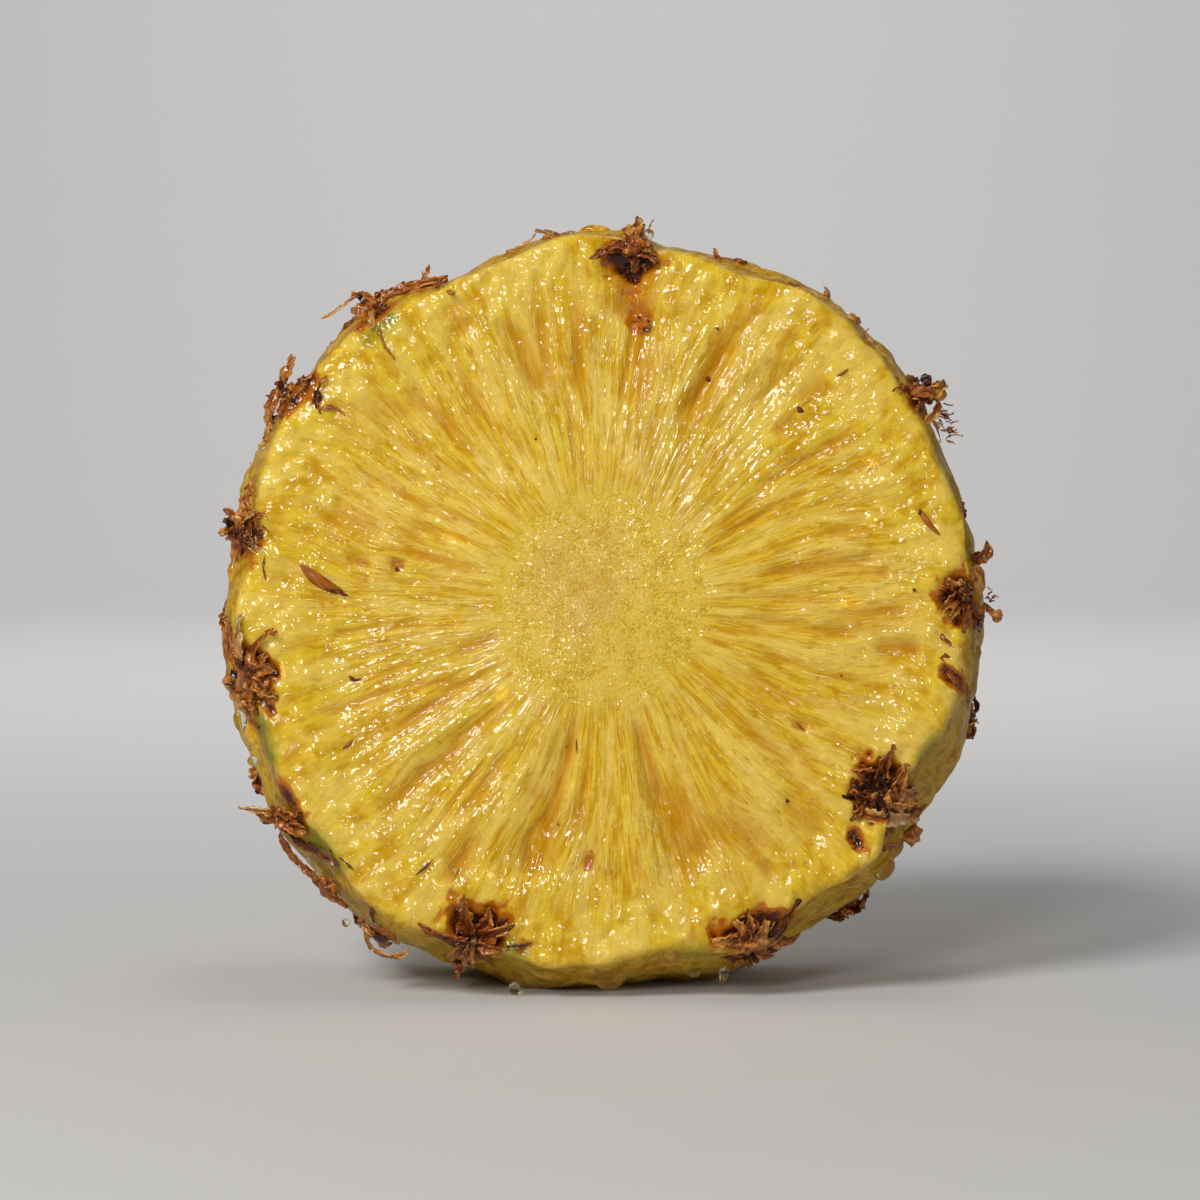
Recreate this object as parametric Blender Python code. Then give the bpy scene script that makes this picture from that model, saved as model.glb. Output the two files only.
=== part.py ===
"""A thick cross-cut slice of pineapple with its core and its eyes left in, standing on its rim.

The slice is one solid. A drum is turned about the fruit's axis, then shaped by functions of the
angle round the fruit and of the depth from front face to back face: pared facets round the rim,
a girth that swells behind the front face, eyes that stand in shallow pits, fibre bundles that
fan out from the core on both faces, and a small flat foot. It leans back a little, towards +Y.

Frame: metres, +Z up, the front face looks towards -Y, and the origin is the middle of the
bounding box's underside. Angles round the fruit are clockwise from the top, seen from the front.
"""

import math

import bmesh
import bpy
from mathutils import Matrix, Vector

MM = 0.001

# Whole slice
GIRTH_RADIUS = 52.6 * MM  # axis to the rim where the slice is widest
THICKNESS = 30.0 * MM
LEAN = math.radians(7.5)
FOOT_CUT = 2.0 * MM  # height of the sliver taken off underneath, which leaves the flat foot

# Core and fibres, which show on both cut faces
CORE_RADIUS = 14.2 * MM
CORE_DOME = 0.35 * MM  # the middle of the core stands this proud
CORE_GROOVE = 0.5 * MM
CORE_GROOVE_WIDTH = 1.5 * MM
BUNDLES = 33
BUNDLE_DEPTH = 0.9 * MM
BUNDLE_WANDER = 1.3  # radians that the bundles' spacing drifts by
WANDERS = 3  # times that it drifts to and fro round the fruit
BUNDLES_START = (0.27, 0.42)  # shares of the radius between which the bundles begin
BUNDLES_END = (0.72, 0.95)  # and between which they die out
FACE_SAG = 0.6 * MM  # how far the flesh between core and rim sinks below the face
SAG_START = (0.27, 0.55)
SAG_END = (0.75, 1.0)
ROUND_SHARE = 0.2  # inside this share of the radius the rings are true circles

# Rim: each facet is (clockwise degrees, distance from the axis as a share of the girth radius)
PARED_FACETS = (
    (17, 0.962),
    (45, 0.994),
    (72, 0.968),
    (97, 0.988),
    (122, 0.990),
    (149, 0.988),
    (176, 0.979),
    (201, 1.000),
    (226, 1.012),
    (251, 0.996),
    (274, 0.986),
    (294, 0.988),
    (314, 0.984),
    (338, 0.950),
    (358, 0.994),
)
FACET_SHARPNESS = 90  # exponent that rounds the corners between facets

# Girth along the depth, as shares of the girth radius
FRONT_GIRTH = 0.945
FRONT_GIRTH_REACH = 0.42  # share of the depth over which the rim swells from front to full
BACK_GIRTH = 0.982
BACK_GIRTH_START = 0.72
EDGE_ROUND = 0.9 * MM

# Deeper paring of the front edge: (clockwise degrees, half-width in degrees, depth)
FRONT_PARING_REACH = 0.55  # share of the thickness over which the deeper paring fades out
FRONT_PARINGS = (
    (116, 15, 2.6 * MM),
    (143, 9, 1.2 * MM),
    (168, 10, 1.6 * MM),
    (192, 9, 1.2 * MM),
    (244, 14, 1.6 * MM),
    (281, 9, 1.3 * MM),
)

# Eyes round the front edge: (clockwise degrees, size as a share of the common eye)
FRONT_EYES = (
    (4, 1.0),
    (29, 0.6),
    (57, 0.9),
    (88, 1.1),
    (125, 1.2),
    (155, 1.1),
    (201, 1.1),
    (231, 0.9),
    (258, 1.1),
    (281, 1.0),
    (304, 0.8),
    (326, 1.0),
)
FRONT_EYE_DEPTH = 0.17  # share of the thickness
BACK_EYE_DEPTH = 0.74
EYE_PIT_RADIUS = 6.2 * MM
EYE_PIT_DEPTH = 1.1 * MM
EYE_NUB_RADIUS = 2.9 * MM
EYE_NUB_HEIGHT = 2.3 * MM

# Pits where a front eye was cut open on the face: (clockwise degrees, share of radius, size, depth)
FACE_PITS = (
    (4, 0.84, 3.6 * MM, 1.5 * MM),
    (20, 0.70, 3.0 * MM, 1.4 * MM),
    (125, 0.90, 4.8 * MM, 2.0 * MM),
    (154, 0.93, 4.2 * MM, 1.2 * MM),
    (192, 0.56, 3.2 * MM, 1.4 * MM),
    (201, 0.90, 4.2 * MM, 1.2 * MM),
    (259, 0.93, 4.0 * MM, 1.1 * MM),
)

# Mesh
STEPS = 144  # spin steps round the fruit
FRONT_RINGS = (0.0, 0.11, 0.2, 0.255, 0.275, 0.31, 0.42, 0.54, 0.66, 0.78, 0.89, 0.96)
RIM_RINGS = (0.0, 0.03, 0.1, 0.17, 0.24, 0.32, 0.42, 0.52, 0.62, 0.7, 0.78, 0.87, 0.97, 1.0)
BACK_RINGS = (0.0, 0.14, 0.25, 0.275, 0.33, 0.5, 0.68, 0.88)
MERGE_DISTANCE = 0.00001
SNAP_DISTANCE = 0.03 * MM  # corners this near the foot's plane are put on it
ON_RIM = 0.9999

FLESH_COLOUR = (0.68, 0.43, 0.06, 1.0)
FLESH_ROUGHNESS = 0.3


def clear_scene():
    """Takes every object out of the scene."""
    for thing in list(bpy.data.objects):
        bpy.data.objects.remove(thing, do_unlink=True)


def smooth_step(low, high, value):
    """0 below low, 1 above high, and an S-curve between them."""
    share = min(max((value - low) / (high - low), 0.0), 1.0)
    return share * share * (3.0 - 2.0 * share)


def hill(distance, width):
    """A bell of height 1 that has faded to about a third at the given width."""
    return math.exp(-((distance / width) ** 2))


def turn_between(angle, other):
    """The signed angle from other to angle, the short way round."""
    return (angle - other + math.pi) % math.tau - math.pi


def facet_outline(angle):
    """The rim's outline as a share of the girth radius: a polygon of facets with round corners."""
    total = 0.0
    for degrees, share in PARED_FACETS:
        facing = math.cos(angle - math.radians(degrees))
        if facing > 0.0:
            total += (facing / share) ** FACET_SHARPNESS
    return total ** (-1.0 / FACET_SHARPNESS)


def girth_share(depth):
    """How wide the slice is at a depth from 0, the front, to 1, the back."""
    swell = math.sin(0.5 * math.pi * min(depth / FRONT_GIRTH_REACH, 1.0))
    taper = smooth_step(BACK_GIRTH_START, 1.0, depth)
    return FRONT_GIRTH + (1.0 - FRONT_GIRTH) * swell - (1.0 - BACK_GIRTH) * taper


def eye_places():
    """(angle, depth, size) of each eye: the front row, and a back row that sits between it."""
    front = [(math.radians(degrees), FRONT_EYE_DEPTH, size) for degrees, size in FRONT_EYES]
    back = []
    for (here, _, size), (after, _, _) in zip(front, front[1:] + front[:1]):
        back.append((here + 0.5 * (turn_between(after, here) % math.tau), BACK_EYE_DEPTH, size))
    return front + back


EYES = eye_places()


def eye_relief(angle, depth):
    """How far an eye's pit and nub move the rim outwards here."""
    relief = 0.0
    for eye_angle, eye_depth, size in EYES:
        around = turn_between(angle, eye_angle) * GIRTH_RADIUS
        distance = math.hypot(around, (depth - eye_depth) * THICKNESS)
        relief += EYE_NUB_HEIGHT * size * hill(distance, EYE_NUB_RADIUS)
        relief -= EYE_PIT_DEPTH * size * hill(distance, EYE_PIT_RADIUS)
    return relief


def front_paring(angle):
    """How much deeper the front edge was pared here."""
    cut = 0.0
    for degrees, half_width, amount in FRONT_PARINGS:
        turn = turn_between(angle, math.radians(degrees))
        cut += amount * hill(turn, math.radians(half_width))
    return cut


def edge_rounding(depth):
    """How much the round front and back edges take off the radius."""
    reach = min(depth, 1.0 - depth) * THICKNESS / EDGE_ROUND
    if reach >= 1.0:
        return 0.0
    return EDGE_ROUND * (1.0 - math.sqrt(1.0 - (1.0 - reach) ** 2))


def rim_radius(angle, depth):
    """The distance from the axis to the rim."""
    paring = front_paring(angle) * (1.0 - smooth_step(0.0, FRONT_PARING_REACH, depth))
    plain = GIRTH_RADIUS * facet_outline(angle) * girth_share(depth)
    return plain - paring + eye_relief(angle, depth) - edge_rounding(depth)


def fibre_relief(angle, radius, share):
    """How far a cut face sinks here, between and along the fibre bundles and round the core."""
    core = CORE_GROOVE * hill(radius - CORE_RADIUS, CORE_GROOVE_WIDTH)
    core -= CORE_DOME * (1.0 - smooth_step(0.0, CORE_RADIUS, radius))
    fan = 0.5 - 0.5 * math.cos(BUNDLES * angle + BUNDLE_WANDER * math.sin(WANDERS * angle))
    window = smooth_step(*BUNDLES_START, share) * (1.0 - smooth_step(*BUNDLES_END, share))
    sag = smooth_step(*SAG_START, share) * (1.0 - smooth_step(*SAG_END, share))
    return core + BUNDLE_DEPTH * fan * window + FACE_SAG * sag


def pit_relief(angle, share):
    """How far the pits of eyes cut open on the front face sink it here."""
    sunk = 0.0
    face_radius = GIRTH_RADIUS * FRONT_GIRTH
    here = Vector((math.sin(angle), math.cos(angle))) * share * face_radius
    for degrees, pit_share, size, depth in FACE_PITS:
        turn = math.radians(degrees)
        pit = Vector((math.sin(turn), math.cos(turn))) * pit_share * face_radius
        sunk += depth * hill((here - pit).length, size)
    return sunk


def turned_drum():
    """A drum of unit radius with its front face at y = 0 and its back face at y = 1."""
    profile = [(share, 0.0) for share in FRONT_RINGS]
    profile += [(1.0, depth) for depth in RIM_RINGS]
    profile += [(share, 1.0) for share in reversed(BACK_RINGS)]
    drum = bmesh.new()
    corners = [drum.verts.new((share, depth, 0.0)) for share, depth in profile]
    chain = [drum.edges.new(pair) for pair in zip(corners, corners[1:])]
    bmesh.ops.spin(
        drum,
        geom=corners + chain,
        cent=(0.0, 0.0, 0.0),
        axis=(0.0, 1.0, 0.0),
        angle=math.tau,
        steps=STEPS,
        use_merge=True,
    )
    bmesh.ops.remove_doubles(drum, verts=drum.verts, dist=MERGE_DISTANCE)
    bmesh.ops.recalc_face_normals(drum, faces=drum.faces)
    return drum


def shaped_place(place):
    """Where a point of the drum lies on the slice, with the fruit's axis still level along Y."""
    share = math.hypot(place.x, place.z)
    angle = math.atan2(place.x, place.z)
    along = (place.y - 0.5) * THICKNESS
    radius = rim_radius(angle, place.y)
    if share < ON_RIM:
        even = GIRTH_RADIUS * FRONT_GIRTH
        radius = share * (even + (radius - even) * smooth_step(ROUND_SHARE, 1.0, share))
        if place.y < 0.5:
            along += fibre_relief(angle, radius, share) + pit_relief(angle, share)
        else:
            along -= fibre_relief(angle, radius, share)
    return Vector((radius * math.sin(angle), along, radius * math.cos(angle)))


def shape_slice(body):
    """Moves every corner of the drum to its place on the slice."""
    for corner in body.verts:
        corner.co = shaped_place(corner.co)


def stand_on_foot(body):
    """Leans the slice back, cuts its flat foot and puts the origin under the middle of its box."""
    bmesh.ops.rotate(
        body,
        verts=body.verts,
        cent=(0.0, 0.0, 0.0),
        matrix=Matrix.Rotation(-LEAN, 3, "X"),
    )
    lowest = min(corner.co.z for corner in body.verts)
    bmesh.ops.translate(body, verts=body.verts, vec=(0.0, 0.0, -lowest - FOOT_CUT))
    cut = bmesh.ops.bisect_plane(
        body,
        geom=body.verts[:] + body.edges[:] + body.faces[:],
        dist=SNAP_DISTANCE,
        plane_co=(0.0, 0.0, 0.0),
        plane_no=(0.0, 0.0, 1.0),
        clear_inner=True,
    )
    for corner in body.verts:
        if corner.co.z < SNAP_DISTANCE:
            corner.co.z = 0.0
    rim_of_cut = [item for item in cut["geom_cut"] if isinstance(item, bmesh.types.BMEdge)]
    bmesh.ops.edgeloop_fill(body, edges=rim_of_cut)
    bmesh.ops.recalc_face_normals(body, faces=body.faces)
    across = [corner.co.x for corner in body.verts]
    through = [corner.co.y for corner in body.verts]
    middle = Vector((min(across) + max(across), min(through) + max(through), 0.0)) / 2
    bmesh.ops.translate(body, verts=body.verts, vec=-middle)


def flesh_material():
    """Wet golden flesh."""
    flesh = bpy.data.materials.new("flesh")
    flesh.use_nodes = True
    shader = flesh.node_tree.nodes["Principled BSDF"]
    shader.inputs["Base Color"].default_value = FLESH_COLOUR
    shader.inputs["Roughness"].default_value = FLESH_ROUGHNESS
    shader.inputs["Metallic"].default_value = 0.0
    return flesh


def build_slice():
    """The whole slice as one object."""
    body = turned_drum()
    shape_slice(body)
    stand_on_foot(body)
    mesh = bpy.data.meshes.new("fruit_slice")
    body.to_mesh(mesh)
    body.free()
    mesh.materials.append(flesh_material())
    mesh.shade_smooth()
    fruit = bpy.data.objects.new("fruit_slice", mesh)
    bpy.context.scene.collection.objects.link(fruit)
    return fruit


clear_scene()
build_slice()
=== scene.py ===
"""Looks of a thick pineapple slice that stands on its rim.

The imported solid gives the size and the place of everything. A finely cut body replaces it, shaped
by the same functions of angle and depth, and the dried eyes, seeds and juice ride on it.

Lengths here are millimetres in the fruit's own frame, whose origin lies on the fruit's axis at
mid-thickness: +X right and +Z up seen from the front, +Y towards the back. Angles are clockwise
degrees from the top, seen from the front. FruitFrame turns such places into the row's metres.
"""

from __future__ import annotations

import logging
import math
import random
from dataclasses import dataclass
from enum import Enum
from functools import cached_property, lru_cache

import bmesh
import bpy
import numpy as np
from mathutils import Matrix, Vector, noise


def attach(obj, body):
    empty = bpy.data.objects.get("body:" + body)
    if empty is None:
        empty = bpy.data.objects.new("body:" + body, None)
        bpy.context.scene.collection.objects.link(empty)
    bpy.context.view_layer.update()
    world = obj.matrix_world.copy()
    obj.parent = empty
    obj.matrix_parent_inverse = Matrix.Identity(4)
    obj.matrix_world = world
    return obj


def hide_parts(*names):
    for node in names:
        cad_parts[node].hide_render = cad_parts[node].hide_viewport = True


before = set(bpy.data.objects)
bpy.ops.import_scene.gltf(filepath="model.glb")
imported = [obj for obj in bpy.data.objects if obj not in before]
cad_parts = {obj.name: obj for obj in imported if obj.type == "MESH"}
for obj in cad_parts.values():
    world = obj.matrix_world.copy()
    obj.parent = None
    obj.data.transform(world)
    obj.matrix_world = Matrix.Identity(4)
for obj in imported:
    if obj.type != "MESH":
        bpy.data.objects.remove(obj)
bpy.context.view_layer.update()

CAD_NODE = "fruit_slice"
MM = 0.001
LOG = logging.getLogger("pineapple_slice")

Array = np.ndarray


# ---------------------------------------------------------------- small tools


def smooth_step(low: float, high: float, value: Array) -> Array:
    """An S-curve from 0 at low to 1 at high.

    Args:
        low: where it starts to rise.
        high: where it is full.
        value: the numbers to read it at.

    Returns:
        The curve's values, from 0 to 1.
    """
    share = np.clip((value - low) / (high - low), 0.0, 1.0)
    return share * share * (3.0 - 2.0 * share)


def hill(distance: Array, width: float) -> Array:
    """A bell of height 1 that has faded to about a third at the given width."""
    return np.exp(-((distance / width) ** 2))


def turn_between(angle: Array, other: float) -> Array:
    """The signed angle in radians from other to angle, the short way round."""
    return (angle - other + math.pi) % math.tau - math.pi


@lru_cache(maxsize=None)
def weave_table(seed: int, around: int, rows: int) -> Array:
    """The random numbers behind a Weave."""
    return np.random.default_rng(seed).uniform(-1.0, 1.0, (around, rows))


@dataclass(frozen=True)
class Weave:
    """Smooth random numbers on a grid that closes on itself round the fruit.

    Attributes:
        seed: picks the numbers.
        around: cells in a full turn.
        along: cells in one unit of the other direction.
    """

    seed: int
    around: int
    along: float

    def at(self, angle: Array, run: Array) -> Array:
        """The numbers at places on the grid.

        Args:
            angle: radians round the fruit.
            run: the place in the other direction.

        Returns:
            Values from -1 to 1, smooth between cells.
        """
        rows = 256
        table = weave_table(self.seed, self.around, rows)
        column = (angle / math.tau) % 1.0 * self.around
        row = np.asarray(run) * self.along + 64.0
        col0 = np.floor(column).astype(int)
        row0 = np.floor(row).astype(int)
        s, t = column - col0, row - row0
        s, t = s * s * (3.0 - 2.0 * s), t * t * (3.0 - 2.0 * t)
        a, b = col0 % self.around, (col0 + 1) % self.around
        c, d = row0 % rows, (row0 + 1) % rows
        low = table[a, c] * (1.0 - s) + table[b, c] * s
        high = table[a, d] * (1.0 - s) + table[b, d] * s
        return low * (1.0 - t) + high * t


@dataclass(frozen=True)
class FruitFrame:
    """Where the fruit's own frame lies in the row.

    Attributes:
        middle: the axis at mid-thickness, in metres.
        turn: the rotation from the fruit's frame to the row's.
    """

    middle: Vector
    turn: Matrix

    @classmethod
    def of_node(cls, name: str) -> FruitFrame:
        """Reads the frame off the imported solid.

        The two corners that most triangles share are the middles of its cut faces, and the
        fruit's axis runs through them.

        Args:
            name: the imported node.

        Returns:
            The fruit's frame.
        """
        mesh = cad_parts[name].data
        mesh.calc_loop_triangles()
        corners = np.empty(len(mesh.vertices) * 3, np.float32)
        mesh.vertices.foreach_get("co", corners)
        used = np.empty(len(mesh.loop_triangles) * 3, np.int32)
        mesh.loop_triangles.foreach_get("vertices", used)
        places = np.round(corners.reshape(-1, 3)[used].astype(float), 6)
        unique, counts = np.unique(places, axis=0, return_counts=True)
        poles = unique[np.argsort(counts)[-2:]]
        front, back = (Vector(pole) for pole in sorted(poles.tolist(), key=lambda p: p[1]))
        lean = math.atan2((front - back).z, (back - front).y)
        return cls((front + back) / 2, Matrix.Rotation(-lean, 3, "X"))

    def place(self, points: Array) -> Array:
        """Millimetres in the fruit's frame as metres in the row."""
        turn = np.array(self.turn)
        return np.asarray(points, float) @ turn.T * MM + np.array(self.middle)

    def matrix(self) -> Matrix:
        """The same change as one matrix."""
        return Matrix.Translation(self.middle) @ self.turn.to_4x4() @ Matrix.Scale(MM, 4)


def polar(clock: float, radius: float, depth: float = 0.0) -> Vector:
    """A place from clockwise degrees, distance from the axis and depth behind mid-thickness."""
    turn = math.radians(clock)
    return Vector((radius * math.sin(turn), depth, radius * math.cos(turn)))


# ---------------------------------------------------------------- the fruit's form


@dataclass(frozen=True)
class FruitForm:
    """The slice's form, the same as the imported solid's but finer.

    Attributes:
        girth_radius: axis to rim where the slice is widest.
        thickness: front face to back face.
        facets: (clockwise degrees, share of the girth radius) of each pared facet.
        sharpness: how sharp the corners between facets are.
        front_girth: the rim's share of the girth radius at the front edge.
        front_reach: the share of the depth over which it swells to full.
        back_girth: its share at the back edge.
        back_start: the share of the depth where it starts to narrow.
        edge_round: radius of the cut edges.
        parings: (clockwise degrees, half-width in degrees, depth) of deeper front paring.
        paring_reach: the share of the depth over which that paring fades out.
        eyes: (clockwise degrees, size) of the eyes of the front row.
        eye_rows: depths of the two rows, as shares of the thickness.
        eye_pit: radius and depth of the pit round an eye.
        eye_nub: radius and height of what stands in it.
    """

    girth_radius: float = 52.6
    thickness: float = 30.0
    facets: tuple[tuple[float, float], ...] = (
        (17, 0.962), (45, 0.994), (72, 0.968), (97, 0.988), (122, 0.990),
        (149, 0.988), (176, 0.979), (201, 1.000), (226, 1.012), (251, 0.996),
        (274, 0.986), (294, 0.988), (314, 0.984), (338, 0.950), (358, 0.994),
    )
    sharpness: float = 90.0
    front_girth: float = 0.945
    front_reach: float = 0.42
    back_girth: float = 0.982
    back_start: float = 0.72
    edge_round: float = 0.9
    parings: tuple[tuple[float, float, float], ...] = (
        (116, 15, 2.6), (143, 9, 1.2), (168, 10, 1.6),
        (192, 9, 1.2), (244, 14, 1.6), (281, 9, 1.3),
    )
    paring_reach: float = 0.55
    eyes: tuple[tuple[float, float], ...] = (
        (4, 1.0), (29, 0.6), (57, 0.9), (88, 1.1), (125, 1.2), (155, 1.1),
        (201, 1.1), (231, 0.9), (258, 1.1), (281, 1.0), (304, 0.8), (326, 1.0),
    )
    eye_rows: tuple[float, float] = (0.17, 0.74)
    eye_pit: tuple[float, float] = (6.2, 1.1)
    eye_nub: tuple[float, float] = (2.9, 1.4)

    def outline(self, angle: Array) -> Array:
        """The rim's outline as a share of the girth radius: facets with round corners."""
        total = np.zeros_like(angle)
        for clock, share in self.facets:
            facing = np.maximum(np.cos(angle - math.radians(clock)), 0.0)
            total += (facing / share) ** self.sharpness
        return total ** (-1.0 / self.sharpness)

    def girth(self, depth: Array) -> Array:
        """How wide the slice is at a depth from 0, the front, to 1, the back."""
        swell = np.sin(0.5 * math.pi * np.minimum(depth / self.front_reach, 1.0))
        taper = smooth_step(self.back_start, 1.0, depth)
        return self.front_girth + (1.0 - self.front_girth) * swell - (1.0 - self.back_girth) * taper

    def paring(self, angle: Array) -> Array:
        """How much deeper the front edge was pared at each angle."""
        cut = np.zeros_like(angle)
        for clock, half_width, depth in self.parings:
            cut += depth * hill(turn_between(angle, math.radians(clock)), math.radians(half_width))
        return cut

    def eye_places(self) -> list[tuple[float, float, float]]:
        """Every eye: the front row and the back row between it.

        Returns:
            (radians round the fruit, depth as a share, size) of each.
        """
        front, back = [], []
        for place, (clock, size) in enumerate(self.eyes):
            after = self.eyes[(place + 1) % len(self.eyes)][0]
            half = 0.5 * ((after - clock) % 360)
            front.append((math.radians(clock), self.eye_rows[0], size))
            back.append((math.radians(clock + half), self.eye_rows[1], size))
        return front + back

    def eye_relief(self, angle: Array, depth: Array) -> Array:
        """How far the eyes' pits and nubs move the rim outwards."""
        relief = np.zeros_like(angle)
        for eye_angle, eye_depth, size in self.eye_places():
            around = turn_between(angle, eye_angle) * self.girth_radius
            distance = np.hypot(around, (depth - eye_depth) * self.thickness)
            relief += self.eye_nub[1] * size * hill(distance, self.eye_nub[0])
            relief -= self.eye_pit[1] * size * hill(distance, self.eye_pit[0])
        return relief

    def edge_rounding(self, depth: Array) -> Array:
        """How much the round front and back edges take off the radius."""
        reach = np.minimum(np.minimum(depth, 1.0 - depth) * self.thickness / self.edge_round, 1.0)
        return self.edge_round * (1.0 - np.sqrt(1.0 - (1.0 - reach) ** 2))

    def rim_radius(self, angle: Array, depth: Array) -> Array:
        """The distance from the axis to the rim.

        Args:
            angle: radians round the fruit.
            depth: 0 at the front face to 1 at the back.

        Returns:
            The radius at each place.
        """
        angle, depth = np.broadcast_arrays(np.asarray(angle, float), np.asarray(depth, float))
        paring = self.paring(angle) * (1.0 - smooth_step(0.0, self.paring_reach, depth))
        plain = self.girth_radius * self.outline(angle) * self.girth(depth)
        scallop = 0.55 * Weave(31, 46, 0.3).at(angle, depth * self.thickness)
        ripple = 0.20 * Weave(32, 150, 0.7).at(angle, depth * self.thickness)
        lumps = (scallop + ripple) * smooth_step(0.0, 0.04, depth) * smooth_step(0.0, 0.05, 1 - depth)
        run = depth * self.thickness
        crease = np.abs(Weave(34, 60, 0.16).at(angle, run)) + 0.5 * np.abs(Weave(35, 140, 0.3).at(angle, run))
        lumps = lumps - 0.55 * (0.6 - crease) * smooth_step(0.0, 0.1, depth) * smooth_step(0.0, 0.05, 1 - depth)
        zero = np.zeros_like(angle)
        wave = 0.5 * Weave(33, 34, 1.0).at(angle, zero) + 0.3 * Weave(36, 90, 1.0).at(angle, zero)
        wave = wave * (1.0 - smooth_step(0.0, 0.2, depth))
        return plain - paring + self.eye_relief(angle, depth) - self.edge_rounding(depth) + lumps + wave


class MarkKind(Enum):
    """What a mark on the cut face is."""

    # The amber that GAP, PIT and POCKET marks bring through the gap mask is partly the juice-soaked flesh's deeper
    # colour and partly painted shade in the hollow.
    GAP = "gap"  # a split between bundles, deep golden
    PIT = "pit"  # a cut-open eye cavity, amber to brown
    POCKET = "pocket"  # a smooth juicy hollow, bright yellow
    CREAM = "cream"  # an opaque pale or pinkish bundle
    STAIN = "stain"  # a brown bruise
    GREEN = "green"  # unripe rind left at the edge
    RIDGE = "ridge"  # a bundle that stands proud


@dataclass(frozen=True)
class FaceMark:
    """One mark on the front face, longer along the fibres than across.

    Attributes:
        kind: what it is.
        clock: clockwise degrees of its middle.
        radius: distance of its middle from the axis.
        length: its full length.
        width: its full width.
        depth: how far it sinks, or rises when negative.
        strength: how strong its colour is, from 0 to 1.
        slew: degrees that it turns clockwise from the radial direction.
    """

    kind: MarkKind
    clock: float
    radius: float
    length: float
    width: float
    depth: float = 0.0
    strength: float = 1.0
    slew: float = 0.0

    def mask(self, across: Array, up: Array) -> Array:
        """How far into the mark each place is, 0 outside and 1 in its middle."""
        middle = polar(self.clock, self.radius)
        turn = math.radians(self.clock + self.slew)
        dx, dz = across - middle.x, up - middle.z
        along = dx * math.sin(turn) + dz * math.cos(turn)
        side = dx * math.cos(turn) - dz * math.sin(turn)
        if self.kind is MarkKind.STAIN:
            turn_here, out = np.arctan2(across, up), np.hypot(across, up)
            torn = 1.0 + 0.28 * Weave(77, 130, 0.45).at(turn_here, out) + 0.22 * Weave(78, 300, 1.1).at(turn_here, out)
            return 1.0 - smooth_step(0.35, 1.15, np.hypot(2.0 * along / self.length, 2.0 * side / self.width) * torn)
        span = np.abs(along) / (0.5 * self.length)
        narrow = 0.5 * self.width * (1.0 + 0.35 * np.clip(along / self.length, -0.5, 0.5))
        return (1.0 - smooth_step(0.55, 1.15, span)) * np.exp(-((side / narrow) ** 2))


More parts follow.
